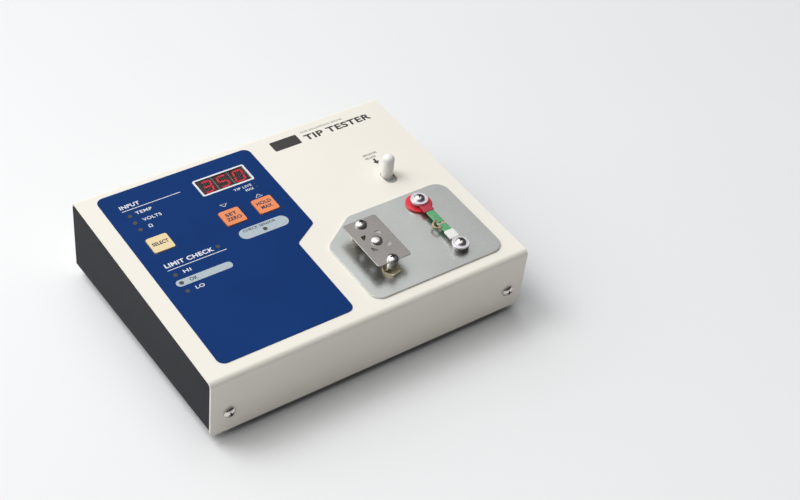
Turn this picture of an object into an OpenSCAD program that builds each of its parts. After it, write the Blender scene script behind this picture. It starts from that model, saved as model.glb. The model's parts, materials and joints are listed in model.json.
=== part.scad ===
// Bench tester for soldering-iron tips: sloped desk case with a film panel on the left
// and a sensor stand on the right. +Z is up, the front faces -Y, and the origin is at
// table level in the middle of the case. Millimetres.

/* [Case] */
// Width of the case, side to side
case_w = 200; // [190:1:220]
// Depth of the top panel along its slope
top_depth = 155; // [152:1:170]
// Height of the cover's front flange
front_h = 39.5; // [38:0.5:46]
// Height of the cover's rear flange
rear_h = 51; // [49:0.5:60]
// Thickness of the sheet steel
sheet_t = 1.2; // [1:0.1:1.4]
// Outside radius of the cover's bends
bend_r = 3.2; // [3:0.1:5]
// Height of the rubber feet
foot_h = 6; // [5:0.5:10]
// Height of the cover screws above the cover's lower edge
cover_screw_h = 13.8; // [12:0.2:16]

/* [Panel] */
// Thickness of the printed panel film
film_t = 0.3; // [0.2:0.05:0.4]
// Width of a key
key_w = 12.5; // [11:0.5:13]
// Length of a key up the slope
key_l = 12; // [11:0.5:13]
// Height of a key above the cover
key_h = 0.9; // [0.6:0.1:1.5]
// Gap round a key in its opening
key_gap = 0.3; // [0.2:0.05:0.4]
// Depth of the circuit board's upper face below the top of the cover
board_depth = 10.5; // [10:0.5:12]

/* [Sensor stand] */
// Distance between the two sensor terminals
terminal_pitch = 40; // [38:0.5:42]
// Height of the sensor above the cover
sensor_h = 3.5; // [3.4:0.1:6]
// Travel of the release slider
slider_travel = 3.8; // [3:0.1:3.8]
// Height of the release knob above the cover
knob_h = 14.5; // [10:0.5:18]
// Diameter of the release knob
knob_d = 7; // [6:0.5:7]
// Height of the contact strip above the cover
strip_h = 8.7; // [8:0.1:12]

/* [Rear panel] */
// Distance of the mains inlet from the left end
inlet_x = 45; // [40:1:50]
// Distance of the power switch from the left end
switch_x = 85; // [83:1:95]
// Distance of the earth jack from the left end
jack_x = 112; // [108:1:120]
// Length of the earth jack outside the panel
jack_out = 8; // [7:0.5:12]
// Radius of the earth jack's bore, for a 4 mm plug
jack_bore_r = 2; // [2:0.05:2.1]

/* [Hidden] */
$fn = 64;
slope = atan((rear_h - front_h) / top_depth);
chassis_lift = 1;
cover_z = foot_h - chassis_lift;
chassis_gap = 0.1;
side_gap = 0.3;
inner_z = foot_h + sheet_t;
under = -sheet_t;

// Fasteners: [head radius, head height, shank radius]
m4_pan = [3.45, 2.4, 1.95];
m3_pan = [3.05, 2.1, 1.45];
m4_clear_r = 2.05;
m3_clear_r = 1.55;
m4_nut = [7, 3.2];
m3_nut = [5.5, 2.4];

// Places on the top panel: [from the left end, from the front edge up the slope]
film_outline = [[10.7, 9.2], [91.6, 9.2], [91.6, 66.6], [107.6, 76.4], [107.6, 149], [10.7, 149]];
film_radii = [4.5, 4.5, 3, 3, 4.5, 4.5];
plate_outline = [[103.6, 8.4], [190.4, 8.4], [190.4, 71], [126.5, 71], [103.6, 55.5]];
plate_radii = [7, 8, 8, 7, 7];
window_at = [64.9, 123.5];
window_size = [33, 14.4];
digit_at = [66.35, 124.4];
digit_size = [10, 12.6];
digit_pitch = 10.1;
mode_key_at = [26.4, 101.7];
zero_key_at = [70.9, 101.7];
hold_key_at = [91.7, 101.7];
mode_led_at = [[22, 128.7], [22, 122.6], [22, 116.5]];
comparator_led_at = [[21.8, 76.6], [21.8, 69.9], [21.8, 63.2], [52, 85]];
alarm_led_at = [81.7, 85];
axis_x = 167.6;
fixed_v = 20.5;
moving_v = fixed_v + terminal_pitch;
knob_x = 166.8;
knob_v = 91.2;
contact_x = 123.9;
contact_v = [23.8, 54.8];
button_at = [124.3, 39.9];
strip_outline = [[114, 22.4], [135.4, 22.4], [135.4, 58.4], [114, 58.4]];

// Sensor stand, heights above the cover
plate_t = 1;
post_r = 4.7;
insulator_r = 7.75;
insulator_base = plate_t + 0.15;
insulator_top = insulator_base + 1.2;
neck_r = 3.4;
slot_gap = 0.3;
slot_r = neck_r + slot_gap;
pin_r = 2.5;
pin_fit = 0.02;
tab_t = 0.4;
washer_r = 5;
fixed_washer_t = 0.8;
moving_washer_t = 1.6;
strip_t = 0.5;
bush_r = 3.5;
bush_flange = [5, 2];
screw_end = -8;

// Slider and its guide, heights below the cover
carriage_z = -8.2;
carriage_t = 3;
carriage_w = 17;
carriage_v = [46, 100];
lug_v = [[50, 57], [80, 86]];
lug_w = 9;
lug_bottom = -14.5;
rod_r = 1.5;
rod_z = -11.5;
rod_fit = 0.05;
guide_w = 20;
guide_v = [38, 106];
guide_bottom = -17;
guide_wall = 1;
guide_ear = [7.5, 10];
guide_stud_v = 71;
spring_wire_r = 0.35;
spring_r = 2.6;
spring_turns = 6;
skirt = [11, 18.6, 1];

// Circuit board
board_t = 1.6;
board_at = [8, 12];
board_size = [101, 134];
standoff_at = [[13, 17], [86, 17], [13, 141], [103.5, 141], [103.5, 89]];
switch_size = [6, 6, 3.5];
plunger_r = 1.7;
plunger_fit = 0.05;

// Rear panel
inlet_down = 27;
inlet_flange = [50, 22.5, 2.5];
inlet_body = [27, 19.6, 19];
inlet_cavity = [24, 16, 14];
inlet_screw_pitch = 40;
switch_down = 27;
bezel = [15, 21, 2];
housing = [13, 19, 12];
rocker_half = 7.5;
rocker_w = 10;
rocker_tilt = 12;
rocker_pin_r = 1;
rocker_depth = 1;
jack_down = 27;
jack_r = 5;
jack_body_r = 3.95;
jack_bore_l = 14;

// Inside the chassis
transformer_x = 148;
transformer_v = 129;
core = [41, 14, 34];
bobbin = [24, 28, 21];
foot_at = [82, 60];
foot_r = 8;

// The top edge of the front flange, before its bend, in the row frame
front_reach = -m4_pan[1] * cos(slope) + (front_h - cover_screw_h - m4_pan[0]) * sin(slope);
rear_reach = (top_depth + jack_out) * cos(slope) + (jack_down + jack_r) * sin(slope);
edge_y = -(front_reach + rear_reach) / 2;
edge_z = cover_z + front_h * cos(slope);

// ---- Frames ----

// On the top panel: x from the left end, y up the slope, z out of the panel
module on_panel() {
  translate([-case_w / 2, edge_y, edge_z]) rotate([slope, 0, 0]) children();
}

// On the rear panel: x from the left end, y down from the top, z out of the panel
module on_rear() {
  on_panel() translate([0, top_depth, 0]) rotate([-90, 0, 0]) children();
}

// On the front flange: x from the left end, y up, z out of the flange
module on_front() {
  on_panel() rotate([90, 0, 0]) children();
}

// ---- Outlines ----

function unit(v) = v / norm(v);

// The arc that rounds corner b, between the neighbours a and c
function corner_arc(a, b, c, r, steps) =
  let (
    u = unit(a - b),
    w = unit(c - b),
    half = acos(u * w) / 2,
    centre = b + unit(u + w) * r / sin(half),
    from = b + u * r / tan(half) - centre,
    to = b + w * r / tan(half) - centre,
    turn = 180 - 2 * half
  )
  [for (i = [0:steps])
    centre + (sin(turn * (1 - i / steps)) * from + sin(turn * i / steps) * to) / sin(turn)];

// An outline with each corner rounded by its own radius
function rounded(points, radii, steps = 6) =
  let (n = len(points))
  [for (i = [0:n - 1])
    each corner_arc(points[(i + n - 1) % n], points[i], points[(i + 1) % n], radii[i], steps)];

function box_points(w, l) = [[-w / 2, -l / 2], [w / 2, -l / 2], [w / 2, l / 2], [-w / 2, l / 2]];

module rounded_box(w, l, r) {
  polygon(rounded(box_points(w, l), [r, r, r, r]));
}

// A slot with round ends along y, between two centres
module slot(r, from, to) {
  translate([-r, from]) square([2 * r, to - from]);
  translate([0, from]) circle(r);
  translate([0, to]) circle(r);
}

// The case from the side, without its bottom: x up the slope, y out of the top panel
module side_outline(inset, drop) {
  r = bend_r - inset;
  span = top_depth - 2 * inset;
  translate([inset, -drop]) square([span, drop - bend_r]);
  translate([bend_r, -drop]) square([span - 2 * r, drop - inset]);
  translate([bend_r, -bend_r]) circle(r);
  translate([top_depth - bend_r, -bend_r]) circle(r);
}

module side_solid(inset, drop, w) {
  rotate([90, 0, 90]) linear_extrude(w) side_outline(inset, drop);
}

// ---- Fasteners ----

// Pan-head screw with a cross recess: head above z = 0, shank below
module pan_screw(size, length) {
  head_r = size[0];
  head_h = size[1];
  rim = head_h * 0.4;
  dome = head_h - rim;
  dome_r = (head_r * head_r + dome * dome) / (2 * dome);
  difference() {
    union() {
      rotate_extrude() intersection() {
        square([head_r, head_h]);
        translate([0, head_h - dome_r]) circle(dome_r);
      }
      translate([0, 0, -length]) cylinder(r = size[2], h = length);
    }
    for (a = [45, 135]) rotate([0, 0, a])
      translate([-head_r * 0.55, -0.4, head_h * 0.45]) cube([head_r * 1.1, 0.8, head_h]);
  }
}

// Hexagon nut of [width across flats, height] standing on z = 0
module hex_nut(size, bore_r) {
  difference() {
    cylinder(r = size[0] / sqrt(3), h = size[1], $fn = 6);
    translate([0, 0, -1]) cylinder(r = bore_r, h = size[1] + 2);
  }
}

module ring(outer_r, inner_r, h) {
  difference() {
    cylinder(r = outer_r, h = h);
    translate([0, 0, -1]) cylinder(r = inner_r, h = h + 2);
  }
}

// A round tube swept along points, closed at both ends
module sweep(points, r, sides) {
  n = len(points);
  function along(i) = unit(points[min(i + 1, n - 1)] - points[max(i - 1, 0)]);
  function side(t) = unit(cross(t, abs(t.z) > 0.9 ? [1, 0, 0] : [0, 0, 1]));
  rings = [
    for (i = [0:n - 1]) let (t = along(i), a = side(t), b = cross(t, a))
      for (k = [0:sides - 1])
        points[i] + r * (cos(360 * k / sides) * a + sin(360 * k / sides) * b)
  ];
  walls = [
    for (i = [0:n - 2]) for (k = [0:sides - 1])
      let (m = (k + 1) % sides)
        [i * sides + k, i * sides + m, (i + 1) * sides + m, (i + 1) * sides + k]
  ];
  first = [for (k = [sides - 1:-1:0]) k];
  last = [for (k = [0:sides - 1]) (n - 1) * sides + k];
  polyhedron(rings, concat([first], walls, [last]));
}

// A smooth curve through a route's own points
function through(route, steps) =
  let (n = len(route))
  concat([for (i = [0:n - 2]) for (s = [0:steps - 1])
    let (
      a = route[max(i - 1, 0)],
      b = route[i],
      c = route[i + 1],
      d = route[min(i + 2, n - 1)],
      t = s / steps
    )
    0.5 * (2 * b + (c - a) * t + (2 * a - 5 * b + 4 * c - d) * t * t
      + (3 * b - a - 3 * c + d) * t * t * t)], [route[n - 1]]);

// ---- Case ----

cover_screw_x = [11, case_w - 10.5];
// The rear flange ends short of the case's ends, between the chassis walls
flange_end = side_gap + sheet_t + 0.2;

module top_cover() {
  color([0.93, 0.91, 0.86]) on_panel() {
    difference() {
      side_solid(0, rear_h, case_w);
      translate([-1, 0, 0]) side_solid(sheet_t, rear_h + 1, case_w + 2);
      translate([-1, -1, -rear_h - 1]) cube([case_w + 2, top_depth / 2, rear_h - front_h + 1]);
      for (x = [0, case_w]) flange_corner(x);
      for (x = [-1, case_w - flange_end]) translate([x, top_depth - sheet_t - 0.05, -rear_h - 1])
        cube([flange_end + 1, sheet_t + 1, rear_h + 1 - bend_r]);
      top_openings();
      for (x = cover_screw_x) {
        translate([x, -1, cover_screw_h - front_h]) rotate([-90, 0, 0]) cylinder(r = 2.2, h = 4);
        translate([x, top_depth - 3, cover_screw_h - rear_h]) rotate([-90, 0, 0])
          cylinder(r = 2.2, h = 4);
      }
      translate([0, top_depth, 0]) rotate([-90, 0, 0]) rear_openings();
    }
    for (side = [-1, 1]) translate([axis_x + side * (guide_w + guide_ear[0]) / 2, guide_stud_v, 0])
      weld_stud(6);
    for (at = standoff_at) translate([at.x, at.y, 0]) weld_stud(6);
  }
}

// A stud welded to the underside of the top panel
module weld_stud(length) {
  translate([0, 0, -length]) cylinder(r = 1.5, h = length - sheet_t / 2);
}

// The rounded lower corner of the front flange, at one end of the cover
module flange_corner(x) {
  r = 3;
  turn = x > 0 ? -1 : 1;
  translate([x, -1, -front_h]) rotate([-90, 0, 0]) linear_extrude(sheet_t + 2)
    difference() {
      translate([turn > 0 ? -1 : -r, -r]) square([r + 1, r + 1]);
      translate([turn * r, -r]) circle(r);
    }
}

module top_openings() {
  through_top() translate(window_at + [1.2, 0.8]) square(window_size - [2.4, 1.6]);
  through_top() for (at = [mode_key_at, zero_key_at, hold_key_at]) translate(at)
    rounded_box(key_w + 2 * key_gap, key_l + 2 * key_gap, 1.2);
  for (at = concat(mode_led_at, comparator_led_at, [alarm_led_at]))
    translate([at.x, at.y, under - 1]) cylinder(r = 1.6, h = sheet_t + 2);
  terminal_openings(under - 1, sheet_t + 2);
  through_top() translate([knob_x, 0])
    slot(knob_d / 2 + slot_gap, knob_v - slider_travel - 0.2, knob_v + 0.2);
}

// The openings that the cover and the sensor plate share
module terminal_openings(z, h) {
  for (v = contact_v) translate([contact_x, v, z]) cylinder(r = bush_r + 0.05, h = h);
  translate([axis_x, fixed_v, z]) cylinder(r = bush_r + 0.05, h = h);
  translate([axis_x, 0, z]) linear_extrude(h) slot(slot_r, moving_v - slider_travel, moving_v);
}

module through_top() {
  translate([0, 0, under - 1]) linear_extrude(sheet_t + 2) children();
}

module rear_openings() {
  translate([inlet_x, inlet_down, -2]) linear_extrude(4)
    square([inlet_body.x + 0.4, inlet_body.y + 0.4], center = true);
  for (side = [-1, 1]) translate([inlet_x + side * inlet_screw_pitch / 2, inlet_down, -2])
    cylinder(r = 1.5, h = 4);
  translate([switch_x, switch_down, -2]) linear_extrude(4)
    square([housing.x + 0.2, housing.y + 0.2], center = true);
  translate([jack_x, jack_down, -2]) cylinder(r = 4, h = 4);
}

module chassis() {
  color([0.25, 0.27, 0.28]) difference() {
    union() {
      intersection() {
        translate([0, 150, foot_h]) rotate([90, 0, 0]) linear_extrude(300) tray_section();
        union() {
          on_panel() side_solid(sheet_t + chassis_gap, rear_h + 20, case_w);
          on_panel() for (x = [0, case_w - side_gap - sheet_t])
            translate([x, top_depth - sheet_t - 1, -rear_h - 20])
              cube([side_gap + sheet_t, sheet_t + 0.95, rear_h + 19.9 - bend_r]);
        }
      }
      difference() {
        on_panel() for (x = cover_screw_x) {
          tab(x, sheet_t + chassis_gap, -front_h);
          tab(x, top_depth - 2 * sheet_t - chassis_gap, -rear_h);
        }
        translate([-case_w, -case_w, foot_h - 60]) cube([2 * case_w, 2 * case_w, 60]);
      }
    }
    on_panel() for (x = cover_screw_x) {
      translate([x, 0, cover_screw_h - front_h]) rotate([-90, 0, 0]) cylinder(r = 2, h = 5);
      translate([x, top_depth - 5, cover_screw_h - rear_h]) rotate([-90, 0, 0])
        cylinder(r = 2, h = 5);
    }
    for (x = [-1, 1]) for (y = [-1, 1]) translate([x * foot_at.x, y * foot_at.y, foot_h - 1])
      cylinder(r = 2, h = sheet_t + 2);
    at_transformer() for (side = [-1, 1]) translate([side * 25, 0, -3]) cylinder(r = 1.5, h = 4);
  }
}

// The tray from the front: two walls and a floor with bent corners
module tray_section() {
  w = case_w / 2 - side_gap;
  r = 2;
  difference() {
    tray_outline(w, 0, r + sheet_t);
    tray_outline(w - sheet_t, sheet_t, r);
  }
}

module tray_outline(w, z, r) {
  h = 80;
  translate([-w, z + r]) square([2 * w, h]);
  translate([r - w, z]) square([2 * (w - r), h]);
  for (side = [-1, 1]) translate([side * (w - r), z + r]) circle(r);
}

module tab(x, v, bottom) {
  translate([x - 9, v, bottom - 5]) cube([18, sheet_t, 27]);
}

module cover_screws() {
  color("silver") {
    on_front() for (x = cover_screw_x) translate([x, cover_screw_h - front_h, 0])
      pan_screw(m4_pan, 7);
    on_rear() for (x = cover_screw_x) translate([x, rear_h - cover_screw_h, 0])
      pan_screw(m4_pan, 7);
  }
}

module at_feet() {
  for (x = [-1, 1]) for (y = [-1, 1]) translate([x * foot_at.x, y * foot_at.y, 0]) children();
}

module rubber_feet() {
  color([0.1, 0.1, 0.1]) at_feet() difference() {
    cylinder(r1 = foot_r - 1, r2 = foot_r, h = foot_h);
    translate([0, 0, -1]) cylinder(r = 4, h = 4.2);
    cylinder(r = 2.05, h = foot_h + 1);
  }
}

module foot_screws() {
  color("silver") at_feet() translate([0, 0, 3.2]) mirror([0, 0, 1]) pan_screw(m4_pan, 8);
}

// ---- Panel ----

module panel_film() {
  color([0.07, 0.2, 0.45]) on_panel() difference() {
    linear_extrude(film_t) difference() {
      polygon(rounded(film_outline, film_radii));
      translate(window_at + window_size / 2) rounded_box(window_size.x + 0.1, window_size.y + 0.1, 1.2);
      for (at = [mode_key_at, zero_key_at, hold_key_at]) translate(at)
        rounded_box(key_w + 2 * key_gap, key_l + 2 * key_gap, 1.2);
    }
    for (at = concat(mode_led_at, comparator_led_at, [alarm_led_at]))
      translate([at.x, at.y, -1]) cylinder(r = 1.35, h = 2);
  }
}

module display_window() {
  color([0.3, 0.05, 0.05, 0.5]) on_panel() translate(window_at + window_size / 2)
    linear_extrude(film_t + 0.15) rounded_box(window_size.x, window_size.y, 1.2);
}

module digit(i) {
  color([0.12, 0.1, 0.1]) on_panel()
    translate([digit_at.x + digit_pitch * i, digit_at.y, -board_depth])
      cube([digit_size.x, digit_size.y, board_depth - 0.1]);
}

module digit_left() { digit(0); }
module digit_middle() { digit(1); }
module digit_right() { digit(2); }

module led(at) {
  on_panel() translate([at.x, at.y, -board_depth]) {
    cylinder(r = 1.5, h = board_depth - 0.1);
    cylinder(r = 1.3, h = board_depth + film_t);
  }
}

module mode_leds() { color("dimgray") for (at = mode_led_at) led(at); }
module comparator_leds() { color("dimgray") for (at = comparator_led_at) led(at); }
module alarm_led() { color("dimgray") led(alarm_led_at); }

// Depth of a key's stem end and of its switch below the cover
stem_end = 5.5;
switch_top = board_depth - switch_size.z;

// A key cap with its keeping flange and stem
module key(at) {
  on_panel() translate([at.x, at.y, 0]) {
    translate([0, 0, under - 0.2]) linear_extrude(key_h - under + 0.2)
      rounded_box(key_w, key_l, 1);
    translate([0, 0, under - 1]) linear_extrude(0.8)
      rounded_box(key_w + 2, key_l + 2, 1.5);
    translate([0, 0, -stem_end]) cylinder(r = 2, h = stem_end - 1.5);
  }
}

module plunger(at) {
  color("black") on_panel() translate([at.x, at.y, -switch_top - 1])
    cylinder(r = plunger_r, h = switch_top + 1 - stem_end);
}

module mode_key() { color([0.93, 0.84, 0.63]) key(mode_key_at); }
module zero_key() { color([0.94, 0.55, 0.33]) key(zero_key_at); }
module hold_key() { color([0.94, 0.55, 0.33]) key(hold_key_at); }
module mode_plunger() { plunger(mode_key_at); }
module zero_plunger() { plunger(zero_key_at); }
module hold_plunger() { plunger(hold_key_at); }

module key_switches() {
  color([0.2, 0.2, 0.22]) on_panel() for (at = [mode_key_at, zero_key_at, hold_key_at])
    translate([at.x, at.y, -board_depth]) difference() {
      translate([-switch_size.x / 2, -switch_size.y / 2, 0]) cube(switch_size);
      translate([0, 0, 1]) cylinder(r = plunger_r + plunger_fit, h = 4);
    }
}

// ---- Circuit board ----

module main_board() {
  color([0.1, 0.4, 0.2]) on_panel() difference() {
    translate([board_at.x, board_at.y, -board_depth - board_t])
      cube([board_size.x, board_size.y, board_t]);
    for (at = standoff_at) translate([at.x, at.y, -board_depth - board_t - 1])
      cylinder(r = 1.6, h = board_t + 2);
  }
}

module board_standoffs() {
  color("gold") on_panel() for (at = standoff_at) translate([at.x, at.y, -board_depth])
    hex_nut([m3_nut[0], board_depth - sheet_t], m3_clear_r);
}

module m3_screws() {
  color("silver") {
    on_panel() for (at = standoff_at) translate([at.x, at.y, -board_depth - board_t])
      mirror([0, 0, 1]) pan_screw(m3_pan, 5);
    at_transformer() for (side = [-1, 1]) translate([side * 25, 0, 1]) pan_screw(m3_pan, 3);
    on_rear() for (side = [-1, 1])
      translate([inlet_x + side * inlet_screw_pitch / 2, inlet_down, inlet_flange.z])
        pan_screw(m3_pan, 7);
  }
}

module on_board(x, v) {
  on_panel() translate([x, v, -board_depth]) children();
}

module microcontroller() {
  color([0.12, 0.12, 0.13]) on_board(45, 48) translate([-7, -7, 0]) cube([14, 14, 2]);
}

module sensor_amplifier() {
  color([0.12, 0.12, 0.13]) on_board(78, 34) translate([-5, -3.2, 0]) cube([10, 6.4, 3.5]);
}

module buzzer() {
  color([0.12, 0.12, 0.12]) on_board(62, 26) difference() {
    cylinder(r = 6, h = 8.5);
    translate([0, 0, 7]) cylinder(r = 1, h = 2);
  }
}

// ---- Transformer ----

module at_transformer() {
  translate([transformer_x - case_w / 2, edge_y + transformer_v, inner_z]) children();
}

module transformer_core() {
  window = [6.5, 22];
  color([0.45, 0.46, 0.48]) at_transformer() difference() {
    union() {
      translate([-core.x / 2, -core.y / 2, 0]) cube(core);
      translate([-29, -core.y / 2, 0]) cube([58, core.y, 1]);
    }
    for (side = [-1, 1]) translate([side * 10.3 - window.x / 2, -core.y, 6])
      cube([window.x, 2 * core.y, window.y]);
    for (side = [-1, 1]) translate([side * 25, 0, -1]) cylinder(r = m3_clear_r, h = 4);
  }
}

module transformer_winding() {
  leg = 14.2;
  color([0.75, 0.55, 0.2]) at_transformer() translate([0, 0, 6.5]) difference() {
    translate([-bobbin.x / 2, -bobbin.y / 2, 0]) cube(bobbin);
    translate([-leg / 2, -leg / 2, -1]) cube([leg, leg, bobbin.z + 2]);
  }
}

// ---- Sensor stand ----

module sensor_plate() {
  color([0.73, 0.74, 0.72]) on_panel() difference() {
    linear_extrude(plate_t) polygon(rounded(plate_outline, plate_radii));
    terminal_openings(-1, plate_t + 2);
  }
}

module contact_strip() {
  notch_r = 2.2;
  cut = [[2.3, 6.6], [6, 6.6], [6, 2.8]];
  color([0.62, 0.6, 0.58]) on_panel() translate([0, 0, strip_h]) difference() {
    linear_extrude(strip_t) difference() {
      polygon(rounded(strip_outline, [1.5, 1.5, 1.5, 1.5]));
      for (i = [0, 1]) for (j = [0, 1]) translate(button_at) mirror([i, 0]) mirror([0, j])
        polygon(cut);
    }
    for (v = contact_v) translate([contact_x, v, -1]) cylinder(r = notch_r, h = 3);
    translate([contact_x - notch_r, contact_v[0] - 5, -1]) cube([2 * notch_r, 5, 3]);
    translate([button_at.x, button_at.y, -1]) cylinder(r = 1.55, h = 3);
  }
}

module contact_button() {
  dome_h = 1.8;
  head_r = 3.35;
  dome_r = (head_r * head_r + dome_h * dome_h) / (2 * dome_h);
  color([0.8, 0.79, 0.77]) on_panel() translate([button_at.x, button_at.y, strip_h]) {
    translate([0, 0, strip_t]) rotate_extrude() intersection() {
      square([head_r, dome_h]);
      translate([0, dome_h - dome_r]) circle(dome_r);
    }
    translate([0, 0, -0.3]) cylinder(r = 1.5, h = strip_t + 0.6);
    translate([0, 0, -0.6]) cylinder(r = 2.4, h = 0.6);
  }
}

module at_contacts() {
  on_panel() for (v = contact_v) translate([contact_x, v, 0]) children();
}

module contact_screws() {
  top = strip_h + strip_t;
  color("silver") at_contacts() translate([0, 0, top]) pan_screw(m4_pan, top - screw_end);
}

nut_size = [9.5, 1.6];

module contact_spacers() {
  foot = plate_t + nut_size[1];
  color([0.7, 0.69, 0.66]) at_contacts() translate([0, 0, foot])
    ring(3.05, m4_clear_r, strip_h - foot);
}

module contact_nuts() {
  color([0.83, 0.73, 0.5]) at_contacts() translate([0, 0, plate_t])
    rotate([0, 0, 8]) hex_nut(nut_size, m4_clear_r);
}

module at_bushes() {
  at_contacts() children();
  on_panel() translate([axis_x, fixed_v, 0]) children();
}

module insulating_bushes() {
  color([0.92, 0.9, 0.85]) at_bushes() difference() {
    union() {
      translate([0, 0, under - bush_flange[1]]) cylinder(r = bush_r, h = plate_t - under + bush_flange[1]);
      translate([0, 0, under - bush_flange[1]]) cylinder(r = bush_flange[0], h = bush_flange[1]);
    }
    translate([0, 0, -10]) cylinder(r = m4_clear_r, h = 20);
  }
}

module lock_nuts() {
  color("silver") at_bushes() translate([0, 0, under - bush_flange[1] - m4_nut[1]])
    hex_nut(m4_nut, m4_clear_r - 0.05);
}

module fixed_terminal() {
  color([0.75, 0.75, 0.76]) on_panel() translate([axis_x, fixed_v, 0]) difference() {
    union() {
      translate([0, 0, plate_t]) cylinder(r = post_r, h = sensor_h - plate_t);
      translate([0, 0, screw_end]) cylinder(r = 1.95, h = plate_t - screw_end + 1);
    }
    translate([0, 0, plate_t + 0.2]) cylinder(r = 1.5, h = sensor_h);
  }
}

// A ring tab round a terminal, with its strip leaving along the sensor
module tab_shape(v, to) {
  on_panel() translate([axis_x, v, sensor_h]) difference() {
    linear_extrude(tab_t) {
      circle(post_r);
      translate([-3.1, min(0, to - v)]) square([6.2, abs(to - v)]);
    }
    translate([0, 0, -1]) cylinder(r = m3_clear_r, h = 3);
  }
}

ribbon_v = [32.3, 50.2];

module fixed_tab() { color([0.93, 0.93, 0.92]) tab_shape(fixed_v, ribbon_v[0]); }
module movable_tab() { color([0.86, 0.16, 0.2]) tab_shape(moving_v, ribbon_v[1]); }

module sensor_ribbon() {
  color([0.37, 0.63, 0.43]) on_panel()
    translate([axis_x - 2.7, ribbon_v[0], sensor_h - 0.2])
      cube([5.4, ribbon_v[1] - ribbon_v[0], 0.8]);
}

module terminal_washer(v, t) {
  on_panel() translate([axis_x, v, sensor_h + tab_t]) ring(washer_r, m3_clear_r, t);
}

module terminal_screw(v, t) {
  on_panel() translate([axis_x, v, sensor_h + tab_t + t]) pan_screw(m3_pan, tab_t + t + 2.1);
}

module fixed_washer() { color([0.86, 0.83, 0.88]) terminal_washer(fixed_v, fixed_washer_t); }
module fixed_screw() { color("silver") terminal_screw(fixed_v, fixed_washer_t); }
module movable_washer() { color([0.86, 0.83, 0.88]) terminal_washer(moving_v, moving_washer_t); }
module movable_screw() { color("silver") terminal_screw(moving_v, moving_washer_t); }

// ---- Release slider ----

carriage_top = carriage_z + carriage_t;

module slider_carriage() {
  color([0.7, 0.7, 0.72]) on_panel() difference() {
    union() {
      translate([axis_x - carriage_w / 2, carriage_v[0], carriage_z])
        cube([carriage_w, carriage_v[1] - carriage_v[0], carriage_t]);
      for (v = lug_v) translate([axis_x - lug_w / 2, v[0], lug_bottom])
        cube([lug_w, v[1] - v[0], carriage_z - lug_bottom + 1]);
    }
    translate([axis_x, 0, rod_z]) rotate([-90, 0, 0]) cylinder(r = rod_r + rod_fit, h = 120);
    translate([axis_x, moving_v, carriage_z - 1]) cylinder(r = pin_r + pin_fit, h = 6);
    translate([knob_x, knob_v, carriage_z - 1]) cylinder(r = 2 + pin_fit, h = 6);
  }
}

// The knob and, under the cover, the skirt that closes its slot
module release_knob() {
  r = knob_d / 2;
  dome = 2.4;
  dome_r = (r * r + dome * dome) / (2 * dome);
  color([0.96, 0.96, 0.95]) on_panel() translate([knob_x, knob_v, 0]) {
    translate([0, 0, carriage_top]) rotate_extrude() intersection() {
      square([r, knob_h - carriage_top]);
      translate([0, knob_h - carriage_top - dome_r]) {
        circle(dome_r);
        translate([0, -60]) square([r, 60 + dome_r - dome]);
      }
    }
    translate([0, 0, carriage_z]) cylinder(r = 2, h = carriage_t + 1);
    translate([-skirt.x / 2, -skirt.y / 2, under - 0.3 - skirt.z]) cube(skirt);
  }
}

module movable_insulator() {
  color([0.86, 0.14, 0.16]) on_panel() translate([axis_x, moving_v, 0]) difference() {
    union() {
      translate([0, 0, carriage_top]) cylinder(r = neck_r, h = insulator_base - carriage_top + 1);
      translate([0, 0, insulator_base]) cylinder(r = insulator_r, h = insulator_top - insulator_base);
    }
    translate([0, 0, carriage_top - 1]) cylinder(r = pin_r + pin_fit, h = 20);
  }
}

module movable_terminal() {
  color([0.75, 0.75, 0.76]) on_panel() translate([axis_x, moving_v, 0]) difference() {
    union() {
      translate([0, 0, carriage_z]) cylinder(r = pin_r, h = sensor_h - carriage_z);
      translate([0, 0, insulator_top]) cylinder(r = post_r, h = sensor_h - insulator_top);
    }
    translate([0, 0, plate_t + 0.2]) cylinder(r = 1.5, h = sensor_h);
  }
}

module slider_guide() {
  w = guide_w / 2;
  v = guide_v;
  top = under - guide_bottom;
  color([0.6, 0.62, 0.64]) on_panel() translate([axis_x, 0, guide_bottom]) difference() {
    union() {
      translate([-w, v[0], 0]) cube([guide_w, v[1] - v[0], guide_wall]);
      for (x = [-w, w - guide_wall]) translate([x, v[0], 0])
        cube([guide_wall, v[1] - v[0], top]);
      for (y = [v[0], v[1] - guide_wall]) translate([-w, y, 0])
        cube([guide_w, guide_wall, top]);
      for (x = [-w - guide_ear[0], w]) translate([x, guide_stud_v - guide_ear[1] / 2, top - guide_wall])
        cube([guide_ear[0], guide_ear[1], guide_wall]);
    }
    for (side = [-1, 1]) translate([side * (w + guide_ear[0] / 2), guide_stud_v, top - 3])
      cylinder(r = 1.6, h = 4);
    translate([0, v[0] - 1, rod_z - guide_bottom]) rotate([-90, 0, 0])
      cylinder(r = rod_r + 0.02, h = v[1] - v[0] + 2);
  }
}

module guide_rod() {
  color("silver") on_panel() translate([axis_x, guide_v[0], rod_z]) rotate([-90, 0, 0])
    cylinder(r = rod_r, h = guide_v[1] - guide_v[0]);
}

module guide_nuts() {
  color("silver") on_panel() for (side = [-1, 1])
    translate([axis_x + side * (guide_w + guide_ear[0]) / 2, guide_stud_v,
      under - guide_wall - m3_nut[1]])
      hex_nut(m3_nut, m3_clear_r);
}

// Compression spring between the guide's front wall and the carriage
module slider_spring() {
  from = guide_v[0] + guide_wall + spring_wire_r;
  to = lug_v[0][0] - spring_wire_r;
  steps = spring_turns * 14;
  color("silver") on_panel() translate([axis_x, 0, rod_z]) sweep([
    for (i = [0:steps]) let (a = 360 * spring_turns * i / steps)
      [spring_r * cos(a), from + (to - from) * i / steps, spring_r * sin(a)]
  ], spring_wire_r, 8);
}

// ---- Rear panel ----

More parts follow.
